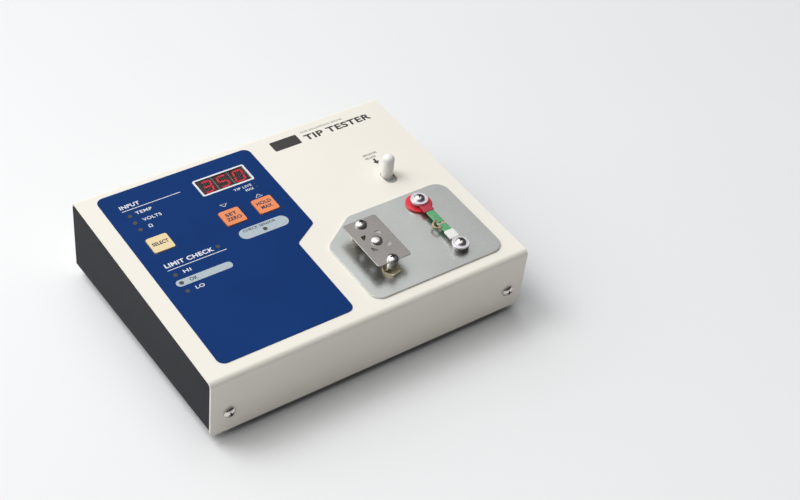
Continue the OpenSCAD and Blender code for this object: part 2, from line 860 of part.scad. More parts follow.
module inlet_body() {
  color([0.1, 0.1, 0.1]) on_rear() translate([inlet_x, inlet_down, 0]) difference() {
    union() {
      linear_extrude(inlet_flange.z) rounded_box(inlet_flange.x, inlet_flange.y, 5);
      translate([0, 0, -inlet_body.z]) linear_extrude(inlet_body.z + 1)
        square([inlet_body.x, inlet_body.y], center = true);
    }
    translate([0, 0, -inlet_cavity.z]) linear_extrude(inlet_cavity.z + inlet_flange.z + 1)
      rounded_box(inlet_cavity.x, inlet_cavity.y, 1.5);
    for (side = [-1, 1]) translate([side * inlet_screw_pitch / 2, 0, -1])
      cylinder(r = m3_clear_r, h = 5);
    inlet_blades(0.02);
  }
}

// The three flat pins, grown by a gap for their seats
module inlet_blades(gap) {
  blade = [2 + 2 * gap, 4 + 2 * gap];
  for (at = [[-7, 2, -5], [7, 2, -5], [0, -2, -3.5]])
    translate([at.x - blade.x / 2, at.y - blade.y / 2, -inlet_body.z - 5 - gap])
      cube([blade.x, blade.y, inlet_body.z + 5 + at.z + gap]);
}

module inlet_pins() {
  color("silver") on_rear() translate([inlet_x, inlet_down, 0]) inlet_blades(0);
}

module switch_housing() {
  color([0.08, 0.08, 0.08]) on_rear() translate([switch_x, switch_down, 0]) {
    difference() {
      union() {
        linear_extrude(bezel.z) rounded_box(bezel.x, bezel.y, 1);
        translate([0, 0, -housing.z]) linear_extrude(housing.z + 1)
          square([housing.x, housing.y], center = true);
      }
      translate([-rocker_w / 2 - 0.3, -8.7, -9]) cube([rocker_w + 0.6, 17.4, 20]);
    }
    for (side = [-1, 1]) translate([side * (rocker_w / 2 - 0.7), 0, -rocker_depth])
      rotate([0, 90, 0]) cylinder(r = rocker_pin_r, h = 2.2, center = true);
  }
}

// The rocker at rest is pressed in at its upper half
module power_rocker() {
  outline = [[-rocker_half, 4.6], [0, 3], [rocker_half, 4.6], [rocker_half, 1.5],
    [2.2, -4], [-2.2, -4], [-rocker_half, 1.5]];
  color([0.12, 0.12, 0.12]) on_rear() translate([switch_x, switch_down, -rocker_depth])
    rotate([rocker_tilt, 0, 0]) difference() {
      translate([-rocker_w / 2, 0, 0]) rotate([90, 0, 90]) linear_extrude(rocker_w)
        polygon(outline);
      for (side = [-1, 1]) translate([side * rocker_w / 2, 0, 0]) rotate([0, 90, 0])
        cylinder(r = rocker_pin_r + 0.05, h = 4, center = true);
    }
}

module earth_jack() {
  color([0.75, 0.65, 0.35]) on_rear() translate([jack_x, jack_down, 0]) difference() {
    union() {
      cylinder(r = jack_r, h = jack_out);
      translate([0, 0, -16]) cylinder(r = jack_body_r, h = 17);
    }
    translate([0, 0, jack_out - jack_bore_l]) cylinder(r = jack_bore_r, h = jack_bore_l + 1);
  }
}

module earth_nut() {
  color("silver") on_rear() translate([jack_x, jack_down, -sheet_t - 2.5])
    hex_nut([12, 2.5], 4);
}

// ---- Wiring ----

// Inner leads, in panel coordinates
lead_z = -board_depth - board_t / 2;
lead_x = board_at.x + board_size.x + 0.05;
fixed_lead = [[axis_x + 1, fixed_v, screw_end - 0.75], [158, fixed_v, -9.5], [140, 28, -15],
  [120, 38, -14], [lead_x + 4, 40, lead_z], [lead_x, 40, lead_z]];
contact_lead = [[contact_x + 1, contact_v[0], screw_end - 0.75], [119, 24.5, -9.5],
  [lead_x + 4, 31, lead_z], [lead_x, 31, lead_z]];
live_lead = [[52, 130.9, -29], [52, 127, -29], [62, 120, -33], [74, 124, -33], [83, 137, -29],
  [83, 142.9, -29]];
supply_lead = [[89, 142.9, -29], [89, 137, -29], [100, 126, -34], [116, 118, -30],
  [130, 117.1, -24], [135.9, 117.1, -24]];

module wiring() {
  color([0.7, 0.15, 0.15]) on_panel() {
    for (route = [fixed_lead, contact_lead]) sweep(through(route, 5), 0.7, 8);
    for (route = [live_lead, supply_lead]) sweep(through(route, 5), 1.1, 8);
  }
}

top_cover();
chassis();
cover_screws();
rubber_feet();
foot_screws();
panel_film();
display_window();
digit_left();
digit_middle();
digit_right();
mode_leds();
comparator_leds();
alarm_led();
mode_key();
zero_key();
hold_key();
mode_plunger();
zero_plunger();
hold_plunger();
key_switches();
main_board();
board_standoffs();
m3_screws();
microcontroller();
sensor_amplifier();
buzzer();
transformer_core();
transformer_winding();
sensor_plate();
contact_strip();
contact_button();
contact_screws();
contact_spacers();
contact_nuts();
insulating_bushes();
lock_nuts();
fixed_terminal();
fixed_washer();
fixed_screw();
slider_carriage();
release_knob();
movable_terminal();
movable_insulator();
movable_washer();
movable_screw();
slider_guide();
guide_rod();
guide_nuts();
slider_spring();
fixed_tab();
movable_tab();
sensor_ribbon();
inlet_body();
inlet_pins();
switch_housing();
power_rocker();
earth_jack();
earth_nut();
wiring();
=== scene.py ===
"""The looks of the soldering-iron tip tester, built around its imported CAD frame."""
import json
import math
import random

import bmesh
import bpy
from mathutils import Matrix, Vector

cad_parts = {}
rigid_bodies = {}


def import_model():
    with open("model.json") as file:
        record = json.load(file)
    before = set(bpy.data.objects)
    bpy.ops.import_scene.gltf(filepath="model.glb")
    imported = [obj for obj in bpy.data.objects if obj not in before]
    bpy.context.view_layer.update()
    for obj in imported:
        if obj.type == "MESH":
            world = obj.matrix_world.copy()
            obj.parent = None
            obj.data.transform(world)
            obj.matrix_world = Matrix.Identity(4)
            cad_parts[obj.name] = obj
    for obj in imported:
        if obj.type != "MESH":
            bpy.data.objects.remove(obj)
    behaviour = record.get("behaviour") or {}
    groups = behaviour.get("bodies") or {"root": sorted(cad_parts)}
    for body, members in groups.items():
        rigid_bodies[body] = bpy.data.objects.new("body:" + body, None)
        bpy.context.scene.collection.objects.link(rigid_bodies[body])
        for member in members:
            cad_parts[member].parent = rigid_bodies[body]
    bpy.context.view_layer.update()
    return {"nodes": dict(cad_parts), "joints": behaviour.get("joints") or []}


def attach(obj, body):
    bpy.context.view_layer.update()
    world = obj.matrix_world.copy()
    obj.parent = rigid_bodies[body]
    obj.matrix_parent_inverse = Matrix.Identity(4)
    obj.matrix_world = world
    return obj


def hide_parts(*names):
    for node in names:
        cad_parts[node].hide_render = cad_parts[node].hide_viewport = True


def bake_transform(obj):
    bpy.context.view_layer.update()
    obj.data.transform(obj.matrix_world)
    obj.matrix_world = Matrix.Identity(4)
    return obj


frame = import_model()

# ---- Frames on the case's panels, in millimetres ----

MM = 0.001
joints = {joint["name"]: joint for joint in frame["joints"]}
press = Vector(joints["mode_press"]["axis"])
slope = math.atan2(press.y, -press.z)
TURN = Matrix.Rotation(slope, 4, "X")


def box_in(place, node):
    """The lowest and highest corners of a CAD node, in the coordinates of place."""
    back = place.inverted()
    points = [back @ vertex.co for vertex in frame["nodes"][node].data.vertices]
    low = Vector(min(p[i] for p in points) for i in range(3))
    high = Vector(max(p[i] for p in points) for i in range(3))
    return low, high


ROW = Matrix.Scale(MM, 4)
turned_low, turned_high = box_in(TURN @ ROW, "top_cover")
corner = Vector((turned_low.x, turned_low.y, turned_high.z))
# On the top panel: x from the left end, y up the slope, z out of the panel
PANEL = TURN @ ROW @ Matrix.Translation(corner)
case_high = box_in(PANEL, "top_cover")[1]
# On the rear panel: x from the left end, y down from the top, z out of the panel
REAR = PANEL @ Matrix.Translation((0, case_high.y, 0)) @ Matrix.Rotation(-math.pi / 2, 4, "X")
# On the front flange: x from the left end, y up, z out of the flange
FRONT = PANEL @ Matrix.Rotation(math.pi / 2, 4, "X")


def centre(node, place=PANEL):
    low, high = box_in(place, node)
    return (low + high) / 2


def in_scene(name, data):
    """A new object that shows data."""
    made = bpy.data.objects.new(name, data)
    bpy.context.scene.collection.objects.link(made)
    return made


# ---- Camera and light ----

# The aim is on the top panel; it, the distance and the lens are in millimetres
CAMERA_AIM = (137.6, 35.3)
CAMERA_DISTANCE = 836.2
CAMERA_AZIMUTH = -37.21
CAMERA_ELEVATION = 39.77
CAMERA_ROLL = 3.91
CAMERA_LENS = 68.8


def make_camera():
    """The photograph's own view."""
    azimuth = math.radians(CAMERA_AZIMUTH)
    elevation = math.radians(CAMERA_ELEVATION)
    roll = math.radians(CAMERA_ROLL)
    ahead = Vector((
        -math.sin(azimuth) * math.cos(elevation),
        math.cos(azimuth) * math.cos(elevation),
        -math.sin(elevation),
    ))
    level = ahead.cross(Vector((0, 0, 1))).normalized()
    above = level.cross(ahead)
    right = level * math.cos(roll) + above * math.sin(roll)
    up = above * math.cos(roll) - level * math.sin(roll)
    data = bpy.data.cameras.new("camera")
    data.lens = CAMERA_LENS
    data.clip_start = 0.01
    data.clip_end = 20
    camera = in_scene("camera", data)
    camera.matrix_world = Matrix((right, up, -ahead)).transposed().to_4x4()
    aim = PANEL @ Vector((*CAMERA_AIM, 0))
    camera.location = aim - ahead * CAMERA_DISTANCE * MM
    bpy.context.scene.camera = camera


make_camera()


def area_light(name, place, aim, size, watts):
    """A white rectangular light, its places and size in metres."""
    data = bpy.data.lights.new(name, "AREA")
    data.shape = "RECTANGLE"
    data.size, data.size_y = size
    data.energy = watts
    light = in_scene(name, data)
    light.location = place
    light.rotation_euler = (Vector(aim) - Vector(place)).to_track_quat("-Z", "Y").to_euler()


def set_stops(ramp, stops):
    """Gives a colour ramp its stops, which are (position, colour)."""
    elements = ramp.color_ramp.elements
    while len(elements) < len(stops):
        elements.new(0.5)
    for element, (position, colour) in zip(elements, stops):
        element.position = position
        element.color = (*colour, 1)


# Where the sky is brightest, and its stops from the dark side to there
SKY_WAY = Vector((-0.3, 0.4, 0.87)).normalized()
SKY_STOPS = (
    (0.0, (0.035, 0.035, 0.036)), (0.52, (0.09, 0.09, 0.093)), (0.85, (0.94, 0.95, 0.96))
)
SKY_STRENGTH = 1.6


def make_world():
    """A soft studio dome: brightest above and behind on the left, dark low down."""
    world = bpy.data.worlds.new("studio")
    world.use_nodes = True
    bpy.context.scene.world = world
    tree = world.node_tree
    coords = tree.nodes.new("ShaderNodeTexCoord")
    along = tree.nodes.new("ShaderNodeVectorMath")
    along.operation = "DOT_PRODUCT"
    along.inputs[1].default_value = SKY_WAY
    ramp = tree.nodes.new("ShaderNodeValToRGB")
    set_stops(ramp, SKY_STOPS)
    tree.links.new(coords.outputs["Generated"], along.inputs[0])
    tree.links.new(along.outputs["Value"], ramp.inputs[0])
    tree.links.new(ramp.outputs[0], tree.nodes["Background"].inputs["Color"])
    tree.nodes["Background"].inputs["Strength"].default_value = SKY_STRENGTH


make_world()
area_light("key", (-0.6, 0.55, 1.5), (0, 0, 0), (0.8, 0.8), 11)
area_light("side", (-0.42, 0.3, 0.16), (-0.1, 0.06, 0.03), (0.2, 0.12), 0.2)
bpy.context.scene.view_settings.view_transform = "Standard"

# ---- Materials ----


class Paint:
    """A material and short ways to build its nodes, on object coordinates in metres."""

    def __init__(self, name, colour, roughness, **sockets):
        self.material = bpy.data.materials.new(name)
        self.material.use_nodes = True
        self.tree = self.material.node_tree
        self.shader = self.tree.nodes["Principled BSDF"]
        self.shader.inputs["Base Color"].default_value = (*colour, 1)
        self.shader.inputs["Roughness"].default_value = roughness
        self.set_inputs(self.shader, sockets)
        self.coords = self.tree.nodes.new("ShaderNodeTexCoord").outputs["Object"]
        self.normal = None

    def set_inputs(self, node, values):
        for socket, value in values.items():
            node.inputs[socket.replace("_", " ")].default_value = value

    def add(self, kind, **values):
        node = self.tree.nodes.new(kind)
        self.set_inputs(node, values)
        return node

    def link(self, output, node_input):
        self.tree.links.new(output, node_input)

    def stretched(self, stretch):
        if stretch == (1, 1, 1):
            return self.coords
        mapping = self.add("ShaderNodeMapping", Scale=stretch)
        self.link(self.coords, mapping.inputs["Vector"])
        return mapping.outputs["Vector"]

    def noise(self, scale, detail=3, rough=0.5, stretch=(1, 1, 1)):
        node = self.add("ShaderNodeTexNoise", Scale=scale, Detail=detail, Roughness=rough)
        self.link(self.stretched(stretch), node.inputs["Vector"])
        return node.outputs["Fac"]

    def cells(self, scale, feature="SMOOTH_F1"):
        node = self.tree.nodes.new("ShaderNodeTexVoronoi")
        node.feature = feature
        self.set_inputs(node, {"Scale": scale})
        self.link(self.coords, node.inputs["Vector"])
        return node.outputs["Distance"]

    def colours(self, fac, *stops):
        """Base colour from a ramp over fac: stops are (position, colour)."""
        ramp = self.tree.nodes.new("ShaderNodeValToRGB")
        set_stops(ramp, stops)
        self.link(fac, ramp.inputs["Fac"])
        self.link(ramp.outputs["Color"], self.shader.inputs["Base Color"])

    def rough(self, fac, low, high):
        """Roughness that follows fac."""
        span = self.add("ShaderNodeMapRange", From_Min=0.3, From_Max=0.7, To_Min=low, To_Max=high)
        self.link(fac, span.inputs["Value"])
        self.link(span.outputs["Result"], self.shader.inputs["Roughness"])

    def bump(self, fac, strength, depth):
        """Adds relief to the normal; its depth is in millimetres."""
        node = self.add("ShaderNodeBump", Strength=strength, Distance=depth * MM)
        self.link(fac, node.inputs["Height"])
        if self.normal is not None:
            self.link(self.normal, node.inputs["Normal"])
        self.normal = node.outputs["Normal"]
        self.link(self.normal, self.shader.inputs["Normal"])


def shades(colour, spread):
    """Two shades round a colour, for a ramp between 0.3 and 0.7."""
    dark = tuple(c * (1 - spread) for c in colour)
    light = tuple(min(1, c * (1 + spread)) for c in colour)
    return (0.3, dark), (0.7, light)


def moulded(name, colour, roughness, grain=0.25, **sockets):
    """Moulded plastic: fine spark-eroded grain and a faint flow in its colour."""
    paint = Paint(name, colour, roughness, **sockets)
    paint.colours(paint.noise(60, 3), *shades(colour, 0.05))
    paint.rough(paint.noise(900, 2), roughness - 0.06, roughness + 0.08)
    paint.bump(paint.noise(2600, 3), grain, 0.03)
    return paint.material


def powder_coat(name, colour, roughness, grain, shine=0.42):
    """Sprayed and baked paint: soft orange peel with a finer grain on it."""
    paint = Paint(name, colour, roughness, Specular_IOR_Level=shine)
    paint.colours(paint.noise(14, 3), *shades(colour, 0.018))
    paint.rough(paint.noise(500, 3), roughness - 0.05, roughness + 0.08)
    paint.bump(paint.noise(750, 2), grain, 0.06)
    paint.bump(paint.cells(1900), grain * 0.8, 0.03)
    return paint.material


def brushed(name, colour, roughness, along="x", grain=0.12):
    """Metal with a fine grain that runs along one axis."""
    paint = Paint(name, colour, roughness, Metallic=1.0)
    stretch = (0.03, 1, 1) if along == "x" else (1, 0.03, 1)
    lines = paint.noise(4200, 4, 0.6, stretch)
    paint.colours(paint.noise(35, 4), *shades(colour, 0.05))
    paint.rough(lines, roughness - 0.06, roughness + 0.08)
    paint.bump(lines, grain, 0.015)
    return paint.material


def plated(name, colour, roughness):
    """Bright plated metal with faint clouds and handling marks."""
    paint = Paint(name, colour, roughness, Metallic=1.0)
    paint.colours(paint.noise(420, 4, 0.6), *shades(colour, 0.09))
    paint.rough(paint.noise(700, 5, 0.65), roughness - 0.07, roughness + 0.14)
    paint.bump(paint.noise(1500, 3), 0.06, 0.02)
    return paint.material


def film(name, colour):
    """Printed polyester film with a fine velvet face."""
    paint = Paint(name, colour, 0.36, Specular_IOR_Level=0.06)
    paint.colours(paint.noise(25, 2), *shades(colour, 0.05))
    paint.rough(paint.noise(120, 3), 0.32, 0.4)
    paint.bump(paint.noise(3600, 2), 0.16, 0.02)
    return paint.material


def ink(name, colour):
    """Screen-printed ink: nearly flat, with a broken edge of tone."""
    paint = Paint(name, colour, 0.45)
    paint.colours(paint.noise(700, 4), *shades(colour, 0.06))
    paint.bump(paint.noise(3000, 2), 0.1, 0.01)
    return paint.material


def window_tint():
    paint = Paint("display_window", (0.05, 0.008, 0.008), 0.12, Alpha=0.22)
    paint.rough(paint.noise(300, 2), 0.1, 0.16)
    return paint.material


def lit_segment():
    paint = Paint("lit_segment", (0.7, 0.01, 0.03), 0.4)
    paint.shader.inputs["Emission Color"].default_value = (0.85, 0.012, 0.05, 1)
    paint.shader.inputs["Emission Strength"].default_value = 0.62
    paint.colours(paint.noise(900, 2), *shades((0.6, 0.01, 0.03), 0.2))
    return paint.material


def rubber():
    paint = Paint("rubber", (0.018, 0.018, 0.019), 0.75)
    paint.colours(paint.noise(90, 3), *shades((0.018, 0.018, 0.019), 0.25))
    paint.rough(paint.noise(600, 3), 0.66, 0.84)
    paint.bump(paint.noise(1800, 3), 0.3, 0.05)
    return paint.material


def knob_nylon():
    paint = Paint("white_nylon", (0.88, 0.87, 0.84), 0.36, Subsurface_Weight=0.25)
    paint.shader.inputs["Subsurface Radius"].default_value = (1.0, 0.9, 0.8)
    paint.shader.inputs["Subsurface Scale"].default_value = 0.0012
    paint.colours(paint.noise(120, 3), *shades((0.88, 0.87, 0.84), 0.02))
    paint.rough(paint.noise(700, 3), 0.3, 0.42)
    paint.bump(paint.noise(1500, 2), 0.08, 0.02)
    return paint.material


def tape():
    paint = Paint("winding_tape", (0.62, 0.4, 0.08), 0.4)
    bands = paint.noise(240, 2, stretch=(0.05, 0.05, 1))
    paint.colours(bands, *shades((0.62, 0.4, 0.08), 0.2))
    paint.bump(bands, 0.3, 0.1)
    return paint.material


def laminations():
    paint = Paint("laminations", (0.2, 0.21, 0.22), 0.45, Metallic=0.8)
    sheets = paint.noise(1400, 1, stretch=(0.02, 1, 0.02))
    paint.colours(sheets, *shades((0.2, 0.21, 0.22), 0.35))
    paint.bump(sheets, 0.5, 0.1)
    return paint.material


def board():
    paint = Paint("solder_mask", (0.02, 0.15, 0.05), 0.3)
    tracks = paint.cells(160, "F1")
    paint.colours(tracks, (0.35, (0.02, 0.17, 0.06)), (0.6, (0.012, 0.11, 0.035)))
    paint.bump(tracks, 0.15, 0.05)
    return paint.material


def sleeve():
    colour = (0.1, 0.36, 0.16)
    paint = Paint("woven_sleeve", colour, 0.6, Sheen_Weight=0.3)
    paint.colours(paint.noise(1300, 4), *shades(colour, 0.28))
    paint.rough(paint.noise(2000, 2), 0.5, 0.72)
    paint.bump(paint.noise(5000, 3), 0.5, 0.04)
    return paint.material


def thermocouple():
    paint = Paint("thermocouple_strip", (0.62, 0.47, 0.3), 0.35, Metallic=1.0)
    marks = paint.noise(520, 4, 0.6)
    paint.colours(
        marks, (0.35, (0.3, 0.19, 0.1)), (0.5, (0.62, 0.46, 0.28)), (0.7, (0.78, 0.7, 0.58))
    )
    paint.rough(marks, 0.28, 0.5)
    paint.bump(paint.noise(1800, 3), 0.2, 0.03)
    return paint.material


CREAM = powder_coat("cream_powder_coat", (0.86, 0.82, 0.735), 0.46, 0.1)
GREY = powder_coat("grey_powder_coat", (0.016, 0.018, 0.021), 0.5, 0.12, 0.2)
PLATE = brushed("satin_plate", (0.6, 0.61, 0.59), 0.31, "x", 0.012)
STRIP = brushed("spring_steel", (0.37, 0.35, 0.33), 0.28, "y", 0.05)
PLATED = plated("nickel_plate", (0.7, 0.68, 0.65), 0.14)
POST = plated("turned_steel", (0.3, 0.28, 0.27), 0.24)
SPACER = plated("spacer_steel", (0.55, 0.52, 0.48), 0.2)
ZINC = plated("zinc_plate", (0.84, 0.8, 0.86), 0.42)
BRASS = plated("brass", (0.88, 0.77, 0.55), 0.4)
ALLOY = brushed("machined_alloy", (0.66, 0.67, 0.66), 0.4)
BLUE = film("blue_film", (0.004, 0.034, 0.156))
WHITE_INK = ink("white_ink", (0.78, 0.8, 0.84))
GREY_INK = ink("grey_ink", (0.42, 0.49, 0.53))
NAVY_INK = ink("navy_ink", (0.02, 0.022, 0.06))
BLACK_INK = ink("black_ink", (0.03, 0.026, 0.024))
FAINT_INK = ink("faint_ink", (0.2, 0.18, 0.16))
ORANGE = moulded("orange_key", (0.83, 0.25, 0.085), 0.42, 0.12)
KEY_CREAM = moulded("cream_key", (0.83, 0.66, 0.37), 0.42, 0.12)
BLACK = moulded("black_plastic", (0.018, 0.018, 0.02), 0.42)
DARK_FACE = moulded("digit_face", (0.016, 0.013, 0.011), 0.3, 0.08)
DIGIT_SHELL = moulded("digit_shell", (0.42, 0.41, 0.4), 0.5)
DIM_SEGMENT = moulded("unlit_segment", (0.05, 0.02, 0.02), 0.4, 0.05)
RED = moulded("red_nylon", (0.68, 0.018, 0.03), 0.34, 0.12, Coat_Weight=0.15)
WHITE = moulded("white_nylon_part", (0.82, 0.82, 0.79), 0.4, 0.1)
SMOKE = moulded("led_lens", (0.036, 0.04, 0.032), 0.3, 0.05)
GRIP = moulded("red_grip", (0.47, 0.03, 0.05), 0.5, 0.5)
SKIRT = moulded("knob_skirt", (0.4, 0.41, 0.4), 0.5, 0.1)
# A dark colour for the inside of screw recesses: painted shade, with their duller plating
RECESS = moulded("recess_shadow", (0.05, 0.043, 0.04), 0.45)
WIRE = moulded("wire_insulation", (0.5, 0.03, 0.03), 0.4)
WINDOW = window_tint()
LIT = lit_segment()
RUBBER = rubber()
KNOB = knob_nylon()
TAPE = tape()
CORE = laminations()
BOARD = board()
SLEEVE = sleeve()
THERMOCOUPLE = thermocouple()

# ---- Building meshes ----


def corner_points(before, here, after, radius, steps):
    """The arc that rounds one corner of an outline."""
    a, b, c = Vector(before), Vector(here), Vector(after)
    u, w = (a - b).normalized(), (c - b).normalized()
    half = math.acos(max(-1, min(1, u.dot(w)))) / 2
    if radius <= 0 or half > math.pi / 2 - 0.01:
        return [b]
    middle = b + (u + w).normalized() * radius / math.sin(half)
    start = b + u * radius / math.tan(half) - middle
    end = b + w * radius / math.tan(half) - middle
    turn = math.pi - 2 * half
    points = []
    for i in range(steps + 1):
        t = i / steps
        mixed = math.sin(turn * (1 - t)) * start + math.sin(turn * t) * end
        points.append(middle + mixed / math.sin(turn))
    return points


def rounded(points, radii, closed=True, steps=8):
    """An outline with its corners rounded by one radius, or by one radius each."""
    count = len(points)
    if not hasattr(radii, "__len__"):
        radii = [radii] * count
    out = []
    for i, point in enumerate(points):
        if not closed and i in (0, count - 1):
            out.append(Vector(point))
            continue
        before, after = points[i - 1], points[(i + 1) % count]
        out += corner_points(before, point, after, radii[i], steps)
    return out


def rectangle(x, y, width, length, radius=0.0, steps=8):
    half_w, half_l = width / 2, length / 2
    corners = [(-half_w, -half_l), (half_w, -half_l), (half_w, half_l), (-half_w, half_l)]
    return rounded([(x + a, y + b) for a, b in corners], radius, True, steps)


def circle(x, y, radius, steps=48):
    turns = [2 * math.pi * i / steps for i in range(steps)]
    return [Vector((x + radius * math.cos(t), y + radius * math.sin(t))) for t in turns]


def slot(x, low, high, radius, steps=16):
    """A slot with round ends along y."""
    points = []
    for i in range(steps + 1):
        t = math.pi * i / steps
        points.append(Vector((x + radius * math.cos(t), high + radius * math.sin(t))))
    for i in range(steps + 1):
        t = math.pi * i / steps
        points.append(Vector((x - radius * math.cos(t), low - radius * math.sin(t))))
    return points


def as_data(name, mesh):
    """The bmesh as mesh data, and the bmesh is freed."""
    data = bpy.data.meshes.new(name)
    mesh.to_mesh(data)
    mesh.free()
    return data


def as_bmesh(data):
    """The mesh data as a bmesh, and the data is removed."""
    out = bmesh.new()
    out.from_mesh(data)
    bpy.data.meshes.remove(data)
    return out


def join(*meshes):
    """One bmesh from several, which are freed."""
    out = bmesh.new()
    for mesh in meshes:
        part = as_data("part", mesh)
        out.from_mesh(part)
        bpy.data.meshes.remove(part)
    return out


def moved(mesh, matrix):
    bmesh.ops.transform(mesh, matrix=matrix, verts=mesh.verts)
    return mesh


def at(x, y, z=0.0, turn=0.0):
    return Matrix.Translation((x, y, z)) @ Matrix.Rotation(math.radians(turn), 4, "Z")


def lathe(profile, steps=64, closed=False):
    """A turned solid from (radius, height) points; closed joins the last to the first."""
    out = bmesh.new()
    rings = []
    for radius, height in profile:
        if radius < 1e-6:
            rings.append([out.verts.new((0, 0, height))])
            continue
        turns = [2 * math.pi * i / steps for i in range(steps)]
        rings.append([
            out.verts.new((radius * math.cos(t), radius * math.sin(t), height)) for t in turns
        ])
    pairs = list(zip(rings, rings[1:]))
    if closed:
        pairs.append((rings[-1], rings[0]))
    for lower, upper in pairs:
        for i in range(steps):
            k = (i + 1) % steps
            if len(lower) == 1:
                out.faces.new((lower[0], upper[k], upper[i]))
            elif len(upper) == 1:
                out.faces.new((lower[i], lower[k], upper[0]))
            else:
                out.faces.new((lower[i], lower[k], upper[k], upper[i]))
    bmesh.ops.recalc_face_normals(out, faces=out.faces)
    return out


def skinned(mesh, rings):
    """The mesh with faces between its rings of vertices and a cap at each end."""
    sides = len(rings[0])
    for lower, upper in zip(rings, rings[1:]):
        for k in range(sides):
            m = (k + 1) % sides
            mesh.faces.new((lower[k], lower[m], upper[m], upper[k]))
    mesh.faces.new(rings[0][::-1])
    mesh.faces.new(rings[-1])
    bmesh.ops.recalc_face_normals(mesh, faces=mesh.faces)
    return mesh


def slab(outline, low, high, edge=0.0, holes=(), steps=3):
    """A plate with rounded edges from an outline and its holes."""
    curve = bpy.data.curves.new("outline", "CURVE")
    curve.dimensions = "2D"
    curve.fill_mode = "BOTH"
    for points in (outline, *holes):
        spline = curve.splines.new("POLY")
        spline.points.add(len(points) - 1)
        for target, point in zip(spline.points, points):
            target.co = (point[0], point[1], 0, 1)
        spline.use_cyclic_u = True
    curve.extrude = (high - low) / 2 - edge
    curve.bevel_depth = edge
    curve.bevel_resolution = steps
    curve.offset = -edge
    return from_curve(curve, Matrix.Translation((0, 0, (high + low) / 2)))


def from_curve(curve, matrix):
    """The filled curve as a bmesh, moved by matrix, and the curve is removed."""
    holder = in_scene("holder", curve)
    graph = bpy.context.evaluated_depsgraph_get()
    mesh = bpy.data.meshes.new_from_object(holder.evaluated_get(graph))
    bpy.data.objects.remove(holder)
    bpy.data.curves.remove(curve)
    out = as_bmesh(mesh)
    bmesh.ops.remove_doubles(out, verts=out.verts, dist=1e-4)
    return moved(out, matrix)


PRINT_THICK = 0.03


def words(text, x, y, height, align="CENTER", weight=0.0, spacing=1.0, low=0.0):
    """Lettering of a given capital height, standing on z = low."""
    curve = bpy.data.curves.new("words", "FONT")
    curve.body = text
    curve.size = height / 0.7
    curve.align_x = align
    curve.align_y = "CENTER"
    curve.space_character = spacing
    curve.offset = weight
    curve.extrude = PRINT_THICK / 2
    curve.resolution_u = 6
    return from_curve(curve, Matrix.Translation((x, y, low + PRINT_THICK / 2)))


def fitted(text, x0, x1, y, height, weight, low):
    """Lettering stretched to run from x0 to x1."""
    mesh = words(text, 0, 0, height, "LEFT", weight, 1.08)
    left = min(v.co.x for v in mesh.verts)
    right = max(v.co.x for v in mesh.verts)
    scale = (x1 - x0) / (right - left)
    moved(mesh, Matrix.Diagonal((scale, 1, 1, 1)))
    return moved(mesh, at(x0 - left * scale, y, low))


def evenly_shaded(data, sharp):
    """The mesh with normals weighted by area, so that its wide flat faces look flat."""
    data.shade_smooth()
    data.set_sharp_from_angle(angle=math.radians(sharp))
    holder = in_scene("holder", data)
    weighted = holder.modifiers.new("weighted", "WEIGHTED_NORMAL")
    weighted.keep_sharp = True
    graph = bpy.context.evaluated_depsgraph_get()
    out = bpy.data.meshes.new_from_object(
        holder.evaluated_get(graph), preserve_all_data_layers=True, depsgraph=graph
    )
    bpy.data.objects.remove(holder)
    bpy.data.meshes.remove(data)
    return out


def piece(name, mesh, paint, replaces=(), body="root", place=PANEL, sharp=32):
    """A finished piece from a bmesh in millimetres, riding on a body unless that is None."""
    data = as_data(name, mesh)
    data.transform(place)
    paints = paint if isinstance(paint, (list, tuple)) else [paint]
    for one in paints:
        data.materials.append(one)
    made = in_scene(name, evenly_shaded(data, sharp))
    if body:
        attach(made, body)
    if replaces:
        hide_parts(*replaces)
    return made


SHARP_ANGLE = math.radians(30)


def softened(node, width, paint):
    """The CAD node's own shape with its sharp edges broken, in its place."""
    body = frame["nodes"][node].parent.name.split(":", 1)[1]
    mesh = bmesh.new()
    mesh.from_mesh(frame["nodes"][node].data)
    moved(mesh, Matrix.Scale(1 / MM, 4))
    bmesh.ops.remove_doubles(mesh, verts=mesh.verts, dist=0.002)
    bmesh.ops.dissolve_limit(
        mesh, angle_limit=math.radians(0.6), verts=mesh.verts, edges=mesh.edges
    )
    sharp = [e for e in mesh.edges if e.is_manifold and e.calc_face_angle(0) > SHARP_ANGLE]
    bmesh.ops.bevel(
        mesh, geom=sharp, offset=width, offset_type="OFFSET", segments=2,
        profile=0.5, affect="EDGES", clamp_overlap=True,
    )
    piece(f"{node}_finish", mesh, paint, [node], body, ROW, 50)


def cut(mesh, tool):
    """mesh less tool, both bmeshes."""
    solid, cutter = (in_scene("cut", as_data("cut", part)) for part in (mesh, tool))
    boolean = solid.modifiers.new("cut", "BOOLEAN")
    boolean.operation = "DIFFERENCE"
    boolean.solver = "EXACT"
    boolean.object = cutter
    graph = bpy.context.evaluated_depsgraph_get()
    result = bpy.data.meshes.new_from_object(solid.evaluated_get(graph))
    for holder in (solid, cutter):
        data = holder.data
        bpy.data.objects.remove(holder)
        bpy.data.meshes.remove(data)
    return as_bmesh(result)


# ---- Case ----

softened("top_cover", 0.22, CREAM)
softened("chassis", 0.25, GREY)


# ---- Screws ----


